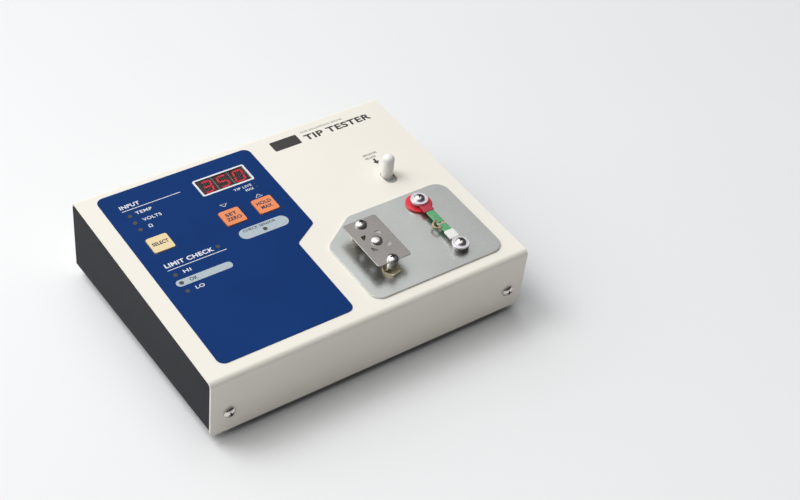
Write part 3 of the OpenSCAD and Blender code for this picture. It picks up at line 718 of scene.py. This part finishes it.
def cross_recess(width, depth):
    """The tapered cross of a Phillips recess, from z = 0 down."""
    wing, tip = width / 2, width * 0.2
    thick, thin = width * 0.135, width * 0.07
    parts = []
    for turn in (0, 90):
        part = bmesh.new()
        top = [(-wing, -thick), (wing, -thick), (wing, thick), (-wing, thick)]
        end = [(-tip, -thin), (tip, -thin), (tip, thin), (-tip, thin)]
        upper = [part.verts.new((x, y, 0.4)) for x, y in top]
        lower = [part.verts.new((x, y, -depth)) for x, y in end]
        part.faces.new(upper)
        part.faces.new(lower[::-1])
        for i in range(4):
            k = (i + 1) % 4
            part.faces.new((upper[k], upper[i], lower[i], lower[k]))
        parts.append(moved(part, at(0, 0, 0, turn)))
    return parts


def pan_head(head_r, head_h, shank_r, length):
    """A pan-head screw, its head above z = 0, with a cross recess."""
    rim = head_h * 0.38
    rise = head_h - rim
    dome_r = (head_r * head_r + rise * rise) / (2 * rise)
    profile = [(0, -length), (shank_r * 0.8, -length), (shank_r, -length + shank_r * 0.3)]
    profile += [(shank_r, -0.02), (head_r - 0.12, 0), (head_r, 0.12), (head_r, rim - 0.15)]
    reach = math.asin(min(1, head_r / dome_r))
    for i in range(1, 11):
        t = reach * (1 - i / 10) * 0.96
        profile.append((dome_r * math.sin(t), head_h - dome_r + dome_r * math.cos(t)))
    head = lathe(profile, 56)
    for part in cross_recess(head_r * 1.12, head_h * 0.62):
        bmesh.ops.recalc_face_normals(part, faces=part.faces)
        head = cut(head, moved(part, at(0, 0, head_h - 0.16)))
    # Faces deep in the cross recess take the second material, recess_shadow: a dark colour that
    # paints the recess's shade and its duller, thinner plating
    for face in head.faces:
        middle = face.calc_center_median()
        skin = head_h - dome_r + math.sqrt(dome_r ** 2 - middle.x ** 2 - middle.y ** 2)
        if middle.z > 0.1 and middle.xy.length < head_r * 0.7 and skin - middle.z > 0.12:
            face.material_index = 1
    return head


def screws(name, node, place, spots, size, length, body="root", seed=1):
    """All the screws of one CAD node, each turned its own way."""
    rng = random.Random(seed)
    head = pan_head(*size, length)
    turned = []
    for spot in spots:
        turn = Matrix.Rotation(rng.uniform(0, math.pi / 2), 4, "Z")
        turned.append(moved(head.copy(), spot @ turn))
    head.free()
    piece(name, join(*turned), [PLATED, RECESS], [node], body, place, 28)


# Head radius, head height and shank radius
M4 = (3.45, 2.4, 1.95)
M3 = (3.05, 2.1, 1.45)
M4_CLEAR_R = 2.05
NUT_FLATS = 9.5
NUT_TURN = 8
PIN_BORE_R = 2.52

front_low, front_high = box_in(FRONT, "cover_screws")
screw_x = (front_low.x + M4[0], front_high.x - M4[0])
front_y = front_high.y - M4[0]
rear_high = box_in(REAR, "cover_screws")[1]
rear_y = rear_high.y - M4[0]
cover_spots = [Matrix.Translation((x, front_y, 0)) for x in screw_x]
to_rear = FRONT.inverted() @ REAR
cover_spots += [to_rear @ Matrix.Translation((x, rear_y, 0)) for x in screw_x]
screws("cover_screw_heads", "cover_screws", FRONT, cover_spots, M4, 7, seed=4)

# ---- Sensor stand ----

plate_low, plate_high = box_in(PANEL, "sensor_plate")
plate_top = plate_high.z
axis_x = centre("fixed_screw").x
fixed_v = centre("fixed_screw").y
moving_v = centre("movable_screw").y
strip_low, strip_high = box_in(PANEL, "contact_strip")
contact_low, contact_high = box_in(PANEL, "contact_screws")
contact_x = (contact_low.x + contact_high.x) / 2
contact_v = (contact_low.y + M4[0], contact_high.y - M4[0])
button = centre("contact_button")


def make_plate():
    """The satin plate with one corner cut and holes for the bushes and the slider."""
    low, high = plate_low, plate_high
    bush_r = 3.55
    slot_r = 3.7
    travel = joints["release_slide"]["range_m"][1] / MM
    cut_x, cut_v = 22.9, 15.5
    outline = rounded(
        [(low.x, low.y), (high.x, low.y), (high.x, high.y), (low.x + cut_x, high.y),
         (low.x, high.y - cut_v)],
        [7, 8, 8, 7, 7],
    )
    holes = [circle(contact_x, v, bush_r) for v in contact_v]
    holes.append(circle(axis_x, fixed_v, bush_r))
    holes.append(slot(axis_x, moving_v - travel, moving_v, slot_r))
    mesh = slab(outline, low.z, high.z, 0.12, holes)
    piece("sensor_plate_finish", mesh, PLATE, ["sensor_plate"])


# One triangular window of the strip, from the button's middle
STRIP_WINDOW = ((2.3, 6.6), (6, 6.6), (6, 2.8))


def make_strip():
    """The spring contact strip: an open notch at its front screw and rounded corners."""
    low, high = strip_low, strip_high
    notch_r = 2.2
    front_v = contact_v[0]
    notch = [Vector((contact_x - notch_r, low.y))]
    notch += [
        Vector((contact_x - notch_r * math.cos(t), front_v + notch_r * math.sin(t)))
        for t in [math.pi * i / 20 for i in range(21)]
    ]
    notch.append(Vector((contact_x + notch_r, low.y)))
    corners = rounded(
        [(high.x, low.y), (high.x, high.y), (low.x, high.y), (low.x, low.y)], 1.5
    )
    outline = notch + corners
    holes = [circle(contact_x, contact_v[1], notch_r), circle(button.x, button.y, 1.55)]
    for i in (-1, 1):
        for j in (-1, 1):
            corner = [(button.x + i * x, button.y + j * y) for x, y in STRIP_WINDOW]
            holes.append(rounded(corner, 0.35, True, 4))
    mesh = slab(outline, low.z, high.z, 0.1, holes)
    piece("contact_strip_finish", mesh, STRIP, ["contact_strip"])


def dome(radius, base, height, power, steps):
    """The profile of a dome, up to its top on the axis; a lower power is a fuller dome."""
    turns = [math.pi / 2 * i / steps for i in range(1, steps)]
    side = [(radius * math.cos(t) ** power, base + height * math.sin(t)) for t in turns]
    return side + [(0, base + height)]


def make_button():
    """The contact's riveted button: a foot, a neck through the strip and a domed head."""
    low, high = box_in(PANEL, "contact_button")
    top = strip_high.z
    head_r = (high.x - low.x) / 2
    profile = [(0, low.z), (2.3, low.z), (2.4, low.z + 0.15), (2.4, strip_low.z)]
    profile += [(1.5, strip_low.z), (1.5, top), (head_r - 0.1, top), (head_r, top + 0.12)]
    profile += dome(head_r, top + 0.12, high.z - top - 0.12, 0.7, 12)
    mesh = moved(lathe(profile), at(button.x, button.y))
    piece("contact_button_finish", mesh, PLATED, ["contact_button"])


def ring_profile(outer, inner, low, high, edge):
    """A washer's or tube's section, with rounded edges."""
    return rounded([(inner, low), (outer, low), (outer, high), (inner, high)], edge, True, 4)


def make_spacers():
    low, high = box_in(PANEL, "contact_spacers")
    outer = (high.x - low.x) / 2
    profile = ring_profile(outer, M4_CLEAR_R, low.z, high.z, 0.15)
    parts = [moved(lathe(profile, 48, True), at(contact_x, v)) for v in contact_v]
    piece("contact_spacer_tubes", join(*parts), SPACER, ["contact_spacers"])


def hexagon_nut(flats, bore, low, high, turn):
    """A nut whose corners are chamfered by a cone, as a turned nut's are."""
    corner_r = flats / math.sqrt(3)
    nut = slab(circle(0, 0, corner_r, 6), low, high, 0.0, [circle(0, 0, bore, 40)])
    bmesh.ops.recalc_face_normals(nut, faces=nut.faces)
    chamfer = (corner_r - flats / 2) * 0.62
    outside = corner_r + 3
    for level, way in ((high, 1), (low, -1)):
        profile = [
            (outside, level + way * 0.5), (corner_r - chamfer * 1.9, level + way * 0.02),
            (outside, level - way * (outside - corner_r + chamfer) * 0.42),
        ]
        nut = cut(nut, lathe(profile, 72, True))
    return moved(nut, at(0, 0, 0, turn))


def make_nuts():
    low, high = box_in(PANEL, "contact_nuts")
    parts = [
        moved(hexagon_nut(NUT_FLATS, M4_CLEAR_R, low.z, high.z, NUT_TURN), at(contact_x, v))
        for v in contact_v
    ]
    piece("contact_nut_pair", join(*parts), BRASS, ["contact_nuts"])


def make_post(name, node, v, body):
    """A terminal: a pin below, a wider post above and the bore for its screw."""
    low, high = box_in(PANEL, node)
    top = high.z
    radius, bore_r, bore_end = (high.x - low.x) / 2, 1.5, plate_top + 0.2
    pin_r, foot = M4[2], plate_top
    if body != "root":
        pin_r, foot = 2.5, box_in(PANEL, "movable_insulator")[1].z
    edge = min(0.2, (top - foot) / 3)
    profile = [(0, low.z), (pin_r, low.z), (pin_r, foot)]
    profile += [(radius - edge, foot), (radius, foot + edge), (radius, top - edge)]
    profile += [(radius - edge, top), (bore_r, top), (bore_r, bore_end), (0, bore_end)]
    mesh = moved(lathe(profile), at(axis_x, v))
    piece(name, mesh, POST, [node], body)


def make_washer(name, node, v, body):
    low, high = box_in(PANEL, node)
    outer = (high.x - low.x) / 2
    profile = ring_profile(outer, 1.6, low.z, high.z, 0.22)
    mesh = moved(lathe(profile, 72, True), at(axis_x, v))
    piece(name, mesh, ZINC, [node], body)


def make_insulator():
    low, high = box_in(PANEL, "movable_insulator")
    outer, neck_r, bore_r = (high.x - low.x) / 2, 3.4, PIN_BORE_R
    base = plate_top + 0.15
    profile = [
        (bore_r, low.z), (neck_r, low.z), (neck_r, base), (outer, base), (outer, high.z),
        (bore_r, high.z),
    ]
    mesh = lathe(rounded(profile, [0, 0, 0, 0.35, 0.6, 0], True, 8), 96, True)
    piece("red_insulator", moved(mesh, at(axis_x, moving_v)), RED,
          ["movable_insulator"], "release_slider")


def make_knob():
    """The push knob, its pin below, and the skirt that closes the slot under the cover."""
    low, high = box_in(PANEL, "release_knob")
    middle = (low + high) / 2
    size = high - low
    radius, pin_r, pin_h, dome_h = 3.5, 2, 3, 2.9
    seat = low.z + pin_h
    profile = [(0, low.z), (pin_r, low.z), (pin_r, seat), (radius - 0.2, seat)]
    profile += [(radius, seat + 0.2), (radius, 0), (radius - 0.02, high.z - dome_h)]
    profile += dome(radius - 0.02, high.z - dome_h, dome_h, 0.9, 16)
    knob = moved(lathe(profile, 72), at(middle.x, middle.y))
    skirt = slab(rectangle(middle.x, middle.y, size.x, size.y, 1.0), -2.5, -1.5, 0.1,
                 [circle(middle.x, middle.y, radius - 0.05)])
    piece("white_knob", knob, KNOB, ["release_knob"], "release_slider")
    piece("knob_slot_skirt", skirt, SKIRT, body="release_slider")


make_plate()
make_strip()
make_button()
make_spacers()
make_nuts()
make_post("fixed_post", "fixed_terminal", fixed_v, "root")
make_post("movable_post", "movable_terminal", moving_v, "release_slider")
make_washer("fixed_washer_ring", "fixed_washer", fixed_v, "root")
make_washer("movable_washer_ring", "movable_washer", moving_v, "release_slider")
make_insulator()
make_knob()

contact_spots = [Matrix.Translation((contact_x, v, strip_high.z)) for v in contact_v]
screws("contact_screw_heads", "contact_screws", PANEL, contact_spots, M4,
       strip_high.z - contact_low.z, seed=2)
for name, node, v, body, seed in (
    ("fixed_screw_head", "fixed_screw", fixed_v, "root", 7),
    ("movable_screw_head", "movable_screw", moving_v, "release_slider", 9),
):
    low, high = box_in(PANEL, node)
    base = high.z - M3[1]
    screws(name, node, PANEL, [Matrix.Translation((axis_x, v, base))], M3, base - low.z,
           body, seed)

# ---- The sensor that is stretched between the terminals ----

tab_high = box_in(PANEL, "fixed_tab")[1]
red_low = box_in(PANEL, "movable_tab")[0]
ribbon_low, ribbon_high = box_in(PANEL, "sensor_ribbon")
TAB_RING_R, TAB_BORE_R, TAB_NECK_W = 4.7, 1.55, 4.2


def make_tab(name, node, v, end, paint, body, grip_w, grip_from):
    """A ring tab round v with a plastic grip over its crimp, which ends at end."""
    low, high = box_in(PANEL, node)
    way = 1 if end > v else -1
    bore = circle(axis_x, v, TAB_BORE_R)
    ring = slab(circle(axis_x, v, TAB_RING_R), low.z, high.z, 0.08, [bore])
    neck_y = (v + way * 2.5 + end) / 2
    neck = slab(
        rectangle(axis_x, neck_y, TAB_NECK_W, abs(end - v) - 2.6, 0.4), low.z + 0.05,
        high.z - 0.02, 0.08,
    )
    start = v + way * grip_from
    grip_y = (start + end) / 2
    grip = slab(
        rectangle(axis_x, grip_y, grip_w, abs(end - start), 0.7), low.z - 0.35, high.z + 0.55,
        0.35, steps=5,
    )
    piece(name, join(ring, neck, grip), paint, [node], body)


SLEEVE_W, SLEEVE_THICK = 5.3, 0.9
WEAVE_PITCH, WEAVE_DEPTH = 0.55, 0.05


def flare(t):
    """A sleeve's width along it: pinched by its grip and spread a little at its free end."""
    return 1.0 + 0.05 * math.exp(-((1 - t) * 14) ** 2) - 0.05 * math.exp(-(t * 10) ** 2)


def tube_strip(y_from, y_to, z):
    """A flattened sleeve along the sensor, with a braid in its surface."""
    across, along = 40, max(24, int(abs(y_to - y_from) * 14))
    out = bmesh.new()
    rings = []
    for i in range(along + 1):
        t = i / along
        y = y_from + (y_to - y_from) * t
        factor = flare(t)
        ring = []
        for k in range(across):
            a = 2 * math.pi * k / across
            x = SLEEVE_W / 2 * factor * math.copysign(abs(math.cos(a)) ** 0.55, math.cos(a))
            h = SLEEVE_THICK / 2 * factor * math.copysign(abs(math.sin(a)) ** 0.8, math.sin(a))
            u = (x + y) * math.pi / WEAVE_PITCH
            w = (x - y) * math.pi / WEAVE_PITCH
            lift = WEAVE_DEPTH * math.sin(u) * math.sin(w)
            side = 1 if h >= 0 else -1
            ring.append(out.verts.new((axis_x + x, y, z + h + side * lift)))
        rings.append(ring)
    return skinned(out, rings)


def make_ribbon():
    """Two braided sleeves, the bare strips between them and the loop to their junction."""
    z = (ribbon_low.z + ribbon_high.z) / 2
    start, end = ribbon_low.y, ribbon_high.y
    gap = (start + 5.6, end - 10.2)
    front = tube_strip(start, gap[0], z)
    rear = tube_strip(end, gap[1], z)
    for name, mesh in (("sensor_sleeve_front", front), ("sensor_sleeve_rear", rear)):
        made = piece(name, mesh, SLEEVE, body=None, sharp=60)
        if name.endswith("front"):
            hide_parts("sensor_ribbon")
        bend(made)
    parts = [bare_strip(gap[0] - 0.6, gap[1] + 0.6, side, z + 0.1 * side) for side in (-1, 1)]
    parts.append(junction_loop(gap, z + 0.3))
    made = piece("sensor_junction", join(*parts), THERMOCOUPLE, body=None,
                 sharp=50)
    bend(made)


def flat_ring(mesh, left, right, level, thick):
    """The corners of a flat strip's section, which runs from left to right."""
    corners = ((left, -thick), (right, -thick), (right, thick), (left, thick))
    return [mesh.verts.new((*p, level + h)) for p, h in corners]


def junction_loop(gap, z):
    """The flat loop of bare strip that leaves the sleeves and ends in the welded junction."""
    knots = [(-1.2, gap[1] + 1.4), (-2.6, gap[1] + 1.5), (-4.6, gap[1] + 0.6),
             (-5.5, (gap[0] + gap[1]) / 2 + 0.4), (-5.0, gap[0] - 0.9), (-3.2, gap[0] - 1.9),
             (-1.4, gap[0] - 1.8)]
    middle = smooth_path([Vector(knot) for knot in knots], 6)
    half, thick = 0.6, 0.16
    out = bmesh.new()
    rings = []
    for i, point in enumerate(middle):
        ahead = (middle[min(i + 1, len(middle) - 1)] - middle[max(i - 1, 0)]).normalized()
        side = Vector((-ahead.y, ahead.x)) * half
        lift = 0.25 * math.sin(math.pi * i / (len(middle) - 1))
        point = point + Vector((axis_x, 0))
        rings.append(flat_ring(out, point - side, point + side, z + lift, thick))
    return skinned(out, rings)


def smooth_path(knots, steps):
    """Points along a smooth curve through the knots."""
    points = []
    for i in range(len(knots) - 1):
        a, b, c, d = (knots[max(0, min(len(knots) - 1, i + k))] for k in (-1, 0, 1, 2))
        for s in range(steps):
            t = s / steps
            points.append(0.5 * (
                2 * b + (c - a) * t + (2 * a - 5 * b + 4 * c - d) * t ** 2
                + (3 * b - a - 3 * c + d) * t ** 3
            ))
    return points + [knots[-1]]


def bare_strip(y_from, y_to, side, z):
    """One bare thermocouple strip, which bows sideways between the sleeves."""
    steps, half, thick = 20, 0.85, 0.14
    out = bmesh.new()
    rings = []
    for i in range(steps + 1):
        t = i / steps
        y = y_from + (y_to - y_from) * t
        hump = math.sin(math.pi * t)
        x = axis_x - 0.35 + side * (0.75 + 0.85 * hump)
        rings.append(flat_ring(out, (x - half, y), (x + half, y), z + 0.38 * hump, thick))
    return skinned(out, rings)


def bend(made):
    """Bakes the piece's place into its mesh; the piece does not give with the slider."""
    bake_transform(made)


make_tab("fixed_tab_grip", "fixed_tab", fixed_v, tab_high.y, WHITE, "root",
         6.2, 5.2)
make_tab("movable_tab_grip", "movable_tab", moving_v, red_low.y, GRIP, "release_slider",
         6.4, 4.3)
make_ribbon()


def make_spring():
    """The slider's coil spring, built as one fixed coil that does not shorten with the slide."""
    low, high = box_in(PANEL, "slider_spring")
    middle = (low + high) / 2
    wire_r = 0.35
    radius = (high.x - low.x) / 2 - wire_r
    turns, steps, sides = 6, 24, 10
    start, end = low.y + wire_r, high.y - wire_r
    out = bmesh.new()
    rings = []
    for i in range(turns * steps + 1):
        a = 2 * math.pi * i / steps
        y = start + (end - start) * i / (turns * steps)
        ring = []
        for k in range(sides):
            b = 2 * math.pi * k / sides
            r = radius + wire_r * math.cos(b)
            ring.append(out.verts.new((
                middle.x + r * math.cos(a), y + wire_r * math.sin(b), middle.z + r * math.sin(a)
            )))
        rings.append(ring)
    skinned(out, rings)
    made = piece("slider_spring_coil", out, PLATED, ["slider_spring"], None,
                 sharp=60)
    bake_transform(made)


make_spring()

# ---- Film panel ----

film_low, film_high = box_in(PANEL, "panel_film")
film_top = film_high.z
KEY_NODES = ("mode_key", "zero_key", "hold_key")
LENS_HOLE_R = 1.35


def make_film():
    """The printed film, open over the window, the keys and the lamps."""
    low, high = film_low, film_high
    step_x, step_low, step_high = 16.0, 57.4, 67.2
    outline = rounded(
        [(low.x, low.y), (high.x - step_x, low.y), (high.x - step_x, low.y + step_low),
         (high.x, low.y + step_high), (high.x, high.y), (low.x, high.y)],
        [4.5, 4.5, 3, 3, 4.5, 4.5],
    )
    gap = 0.3
    window = centre("display_window")
    window_low, window_high = box_in(PANEL, "display_window")
    size = window_high - window_low
    holes = [rectangle(window.x, window.y, size.x + 0.1, size.y + 0.1, 1.2)]
    for node in KEY_NODES:
        middle = centre(node)
        cap = key_size(node)
        holes.append(rectangle(middle.x, middle.y, cap.x + 2 * gap, cap.y + 2 * gap, 1.2))
    for node in ("mode_leds", "comparator_leds", "alarm_led"):
        for x, v in led_places(node):
            holes.append(circle(x, v, LENS_HOLE_R, 32))
    mesh = slab(outline, low.z, high.z, 0.05, holes, 2)
    piece("film_sheet", mesh, BLUE, ["panel_film"])


def key_size(node):
    """A key cap's size: the CAD node's box less its keeping flange."""
    low, high = box_in(PANEL, node)
    return high - low - Vector((2, 2, 0))


def led_places(node):
    """The middles of a CAD node's lamps, in panel coordinates."""
    places = []
    back = PANEL.inverted()
    points = [back @ v.co for v in frame["nodes"][node].data.vertices]
    for p in points:
        near = [s for s in places if (s[0] - Vector((p.x, p.y))).length < 3.4]
        if near:
            near[0][1].append(p)
        else:
            places.append((Vector((p.x, p.y)), [p]))
    out = []
    for _, cluster in places:
        xs = [p.x for p in cluster]
        vs = [p.y for p in cluster]
        out.append(((min(xs) + max(xs)) / 2, (min(vs) + max(vs)) / 2))
    return out


make_film()


def make_key(node, paint, body):
    low, high = box_in(PANEL, node)
    middle = (low + high) / 2
    size = key_size(node)
    top = high.z
    cap = slab(
        rectangle(middle.x, middle.y, size.x, size.y, 1.3), -1.4, top, 0.22, steps=5
    )
    flange = slab(rectangle(middle.x, middle.y, size.x + 2, size.y + 2, 1.5), -2.2, -1.4, 0.05)
    stem = moved(
        lathe([(0, low.z), (1.8, low.z), (2, low.z + 0.2), (2, -2.0), (0, -2.0)], 32),
        at(middle.x, middle.y),
    )
    piece(f"{node}_cap", join(cap, flange, stem), paint, [node], body)
    return middle, top


def print_on(name, meshes, paint, body="root"):
    piece(name, join(*meshes), paint, body=body, sharp=60)


key_tops = {}
for node, paint, slot_name, body in (
    ("mode_key", KEY_CREAM, "key_cream", "mode_button"),
    ("zero_key", ORANGE, "key_orange", "zero_button"),
    ("hold_key", ORANGE, "key_orange", "hold_button"),
):
    key_tops[node] = make_key(node, paint, body)

for node, lines, body, slot_name in (
    ("mode_key", ["SELECT"], "mode_button", "key_cream"),
    ("zero_key", ["SET", "ZERO"], "zero_button", "key_orange"),
    ("hold_key", ["HOLD", "MAX"], "hold_button", "key_orange"),
):
    middle, top = key_tops[node]
    letters = []
    for i, line in enumerate(lines):
        v = middle.y + 3.7 * ((len(lines) - 1) / 2 - i)
        half = 4.8 if len(line) > 4 else 1.15 * len(line)
        letters.append(fitted(line, middle.x - half, middle.x + half, v, 2.5, 0.13, top - 0.005))
    print_on(f"{node}_legend", letters, NAVY_INK, body)


# ---- Display ----

window_low, window_high = box_in(PANEL, "display_window")
window_mid = (window_low + window_high) / 2
window_size = window_high - window_low
SEGMENTS = {"3": "abgcd", "5": "afgcd", "0": "abcdef"}


def segment_outlines(low, high):
    """The seven segments of one digit, slanted, by their usual letters."""
    mid = (low + high) / 2
    half_w, half_h, thick = 2.75, 4.35, 0.62
    tilt = math.tan(math.radians(9))

    def bar(x0, y0, x1, y1):
        run = Vector((x1 - x0, y1 - y0))
        length = run.length
        u = run / length
        n = Vector((-u.y, u.x))
        start, end = Vector((x0, y0)) + u * 0.16, Vector((x1, y1)) - u * 0.16
        shape = [start, start + u * thick + n * thick, end - u * thick + n * thick, end,
                 end - u * thick - n * thick, start + u * thick - n * thick]
        return [Vector((mid.x + p.x + p.y * tilt, mid.y + p.y)) for p in shape]

    w, h = half_w, half_h
    return {
        "a": bar(-w, h, w, h), "g": bar(-w, 0, w, 0), "d": bar(-w, -h, w, -h),
        "f": bar(-w, 0, -w, h), "b": bar(w, 0, w, h),
        "e": bar(-w, -h, -w, 0), "c": bar(w, -h, w, 0),
    }


def make_digit(node, figure):
    low, high = box_in(PANEL, node)
    mid = (low + high) / 2
    size = high - low
    shell = slab(rectangle(mid.x, mid.y, size.x, size.y, 0.2), low.z, high.z - 0.06, 0.05)
    piece(f"{node}_shell", shell, DIGIT_SHELL, [node])
    face = slab(rectangle(mid.x, mid.y, size.x - 0.55, size.y, 0.15), high.z - 0.2,
                high.z - 0.035, 0.0)
    piece(f"{node}_face", face, DARK_FACE)
    lit, dim = [], []
    for letter, outline in segment_outlines(low, high).items():
        mesh = slab(outline, high.z - 0.1, high.z - 0.01, 0.0)
        (lit if letter in SEGMENTS[figure] else dim).append(mesh)
    point = slab(circle(mid.x + 4.0, mid.y - 4.4, 0.55, 20), high.z - 0.1, high.z - 0.015)
    dim.append(point)
    piece(f"{node}_lit", join(*lit), LIT, sharp=60)
    piece(f"{node}_dim", join(*dim), DIM_SEGMENT, sharp=60)


for node, figure in (("digit_left", "3"), ("digit_middle", "5"), ("digit_right", "0")):
    make_digit(node, figure)

pane = slab(
    rectangle(window_mid.x, window_mid.y, window_size.x, window_size.y, 1.2),
    window_low.z, window_high.z, 0.08,
)
piece("display_pane", pane, WINDOW, ["display_window"])
border = slab(
    rectangle(window_mid.x, window_mid.y, window_size.x - 0.1, window_size.y - 0.1, 1.2),
    window_high.z - 0.02, window_high.z + 0.02, 0.0,
    [rectangle(window_mid.x, window_mid.y, window_size.x - 2.3, window_size.y - 2.3, 0.5)],
)
print_on("display_border", [border], WHITE_INK)

# ---- Print on the film ----


def printed(outline, holes=(), height=0.025):
    """A flat mark on the film, which reaches a little into it."""
    return slab(outline, film_top - 0.01, film_top + height, 0.0, holes)


def rule(x0, x1, v, thick):
    return printed(rectangle((x0 + x1) / 2, v, x1 - x0, thick))


def pill(x0, x1, v, height):
    """A rounded bar's outline."""
    return rectangle((x0 + x1) / 2, v, x1 - x0, height, height / 2 - 0.01, 12)


def wedge(x, v, width, height, line):
    """An outlined triangle; a negative height points it down the slope."""
    outer = [(x - width / 2, v - height / 2), (x + width / 2, v - height / 2), (x, v + height / 2)]
    shrink = 1 - 3.2 * line / width
    shift = -height * 0.06
    inner = [(x + (px - x) * shrink, v + shift + (pv - v) * shrink) for px, pv in outer]
    return printed(outer, [inner])


def print_film():
    on = film_top - 0.005
    mode_x = centre("mode_leds").x
    mode_v = sorted((v for _, v in led_places("mode_leds")), reverse=True)
    lamps = sorted(led_places("comparator_leds"), key=lambda p: p[1])
    low_v, ok_v, high_v = (v for _, v in lamps[:3])
    comp_x = lamps[0][0]
    lamp_x, lamp_v = lamps[3]
    alarm = centre("alarm_led")
    zero, hold = centre("zero_key"), centre("hold_key")
    white = [
        fitted("INPUT", mode_x - 2.2, mode_x + 9.6, mode_v[0] + 7.8, 2.7, 0.1, on),
        rule(mode_x - 2.3, mode_x + 33.4, mode_v[0] + 4.8, 0.45),
        fitted("TEMP", mode_x + 3.8, mode_x + 13.6, mode_v[0] + 0.5, 2.3, 0.04, on),
        fitted("VOLTS", mode_x + 4.8, mode_x + 16.0, mode_v[1] + 0.1, 2.3, 0.04, on),
        words("Ω", mode_x + 6.4, mode_v[2] + 0.2, 2.4, "CENTER", 0.05, 1.0, on),
        fitted("LIMIT CHECK", comp_x - 2.0, comp_x + 27.2, lamp_v - 0.5, 2.9, 0.12, on),
        rule(comp_x - 2.2, lamp_x + 3.2, high_v + 4.5, 0.42),
        fitted("HI", comp_x + 4.9, comp_x + 9.4, high_v + 0.2, 2.3, 0.05, on),
        fitted("LO", comp_x + 4.9, comp_x + 10.0, low_v, 2.3, 0.05, on),
        wedge(zero.x + 0.4, zero.y + 10.4, 4.6, -2.5, 0.36),
        wedge(hold.x + 0.6, hold.y + 8.8, 4.6, 2.5, 0.36),
        fitted("TIP LIVE", hold.x - 9.4, hold.x + 1.9, hold.y + 18.5, 1.8, 0.03, on),
        fitted("MAX", hold.x - 3.4, hold.x + 1.6, hold.y + 15.4, 1.8, 0.03, on),
    ]
    print_on("film_white_print", white, WHITE_INK)
    dots = [printed(circle(hold.x + 3.9, hold.y + v, 0.42, 20)) for v in (18.7, 15.8)]
    print_on("film_small_lamps", dots, SMOKE)
    grey = [
        printed(pill(comp_x - 3.1, comp_x + 30.5, ok_v, 4.9),
                [circle(comp_x, ok_v, LENS_HOLE_R, 32)], 0.02),
        printed(pill(alarm.x - 15.2, alarm.x + 15.2, alarm.y + 1.3, 8.2),
                [circle(alarm.x, alarm.y, LENS_HOLE_R, 32)], 0.02),
    ]
    print_on("film_grey_print", grey, GREY_INK)
    dark = [
        fitted("OK", comp_x + 4.9, comp_x + 9.6, ok_v, 2.3, 0.08, film_top + 0.01),
        fitted("CHECK SENSOR", alarm.x - 11.9, alarm.x + 8.6, alarm.y + 3.5, 1.7, 0.04,
               film_top + 0.01),
    ]
    print_on("film_dark_print", dark, NAVY_INK)


print_film()


def print_cover():
    """The marks on the painted cover: a plain bar, the instrument's kind and the arrow."""
    knob = centre("release_knob")
    bar_x, bar_v = film_high.x + 22.3, film_high.y - 6.3
    on = -0.005
    mark = slab(rectangle(bar_x, bar_v, 18.0, 8.4, 0.9), -0.01, 0.02)
    kind = fitted("TIP TESTER", bar_x + 12.4, bar_x + 58.0, bar_v - 1.6, 4.6, 0.22, on)
    print_on("cover_mark", [mark, kind], BLACK_INK)
    small = [
        fitted("FOR SOLDERING IRONS", bar_x + 12.6, bar_x + 41.4, bar_v + 3.9, 1.4, 0.02, on),
        fitted("SENSOR", knob.x - 3.6, knob.x + 5.9, knob.y + 19.9, 1.6, 0.05, on),
        fitted("RELEASE", knob.x - 3.6, knob.x + 3.4, knob.y + 17.0, 1.6, 0.05, on),
    ]
    print_on("cover_small_print", small, FAINT_INK)
    x, v = knob.x + 0.9, knob.y + 13.0
    arrow = [(x - 0.7, v + 2.5), (x - 0.7, v), (x - 2.0, v), (x, v - 2.7),
             (x + 2.0, v), (x + 0.7, v), (x + 0.7, v + 2.5)]
    print_on("cover_arrow", [slab(arrow, -0.01, 0.02)], BLACK_INK)


print_cover()

# ---- Rear, feet and the pieces inside ----

for node, width, paint, slot_name in (
    ("inlet_body", 0.3, BLACK, "plastic_black"),
    ("switch_housing", 0.2, BLACK, "plastic_black"),
    ("power_rocker", 0.35, BLACK, "plastic_black"),
    ("earth_jack", 0.25, BRASS, "brass_part"),
    ("inlet_pins", 0.2, PLATED, "plated_steel"),
    ("rubber_feet", 0.4, RUBBER, "rubber_black"),
    ("slider_carriage", 0.2, ALLOY, "carriage_alloy"),
):
    softened(node, width, paint)

PLAIN = {
    BLACK: ("mode_plunger", "zero_plunger", "hold_plunger", "key_switches", "microcontroller",
            "sensor_amplifier", "buzzer"),
    PLATED: ("foot_screws", "m3_screws", "lock_nuts", "guide_rod", "guide_nuts", "earth_nut"),
    SMOKE: ("mode_leds", "comparator_leds", "alarm_led"),
    BOARD: ("main_board",),
    BRASS: ("board_standoffs",),
    CORE: ("transformer_core",),
    TAPE: ("transformer_winding",),
    WHITE: ("insulating_bushes",),
    ALLOY: ("slider_guide",),
    WIRE: ("wiring",),
}
for paint, nodes in PLAIN.items():
    for node in nodes:
        data = frame["nodes"][node].data
        data.materials.clear()
        data.materials.append(paint)

# ---- Floor ----


def make_floor():
    paint = Paint("floor", (0.82, 0.82, 0.82), 0.7)
    paint.colours(paint.noise(1.5, 2), *shades((0.82, 0.82, 0.82), 0.01))
    mesh = bmesh.new()
    bmesh.ops.create_grid(mesh, x_segments=1, y_segments=1, size=4000)
    data = as_data("floor", mesh)
    data.transform(ROW)
    data.materials.append(paint.material)
    floor = in_scene("floor", data)


make_floor()
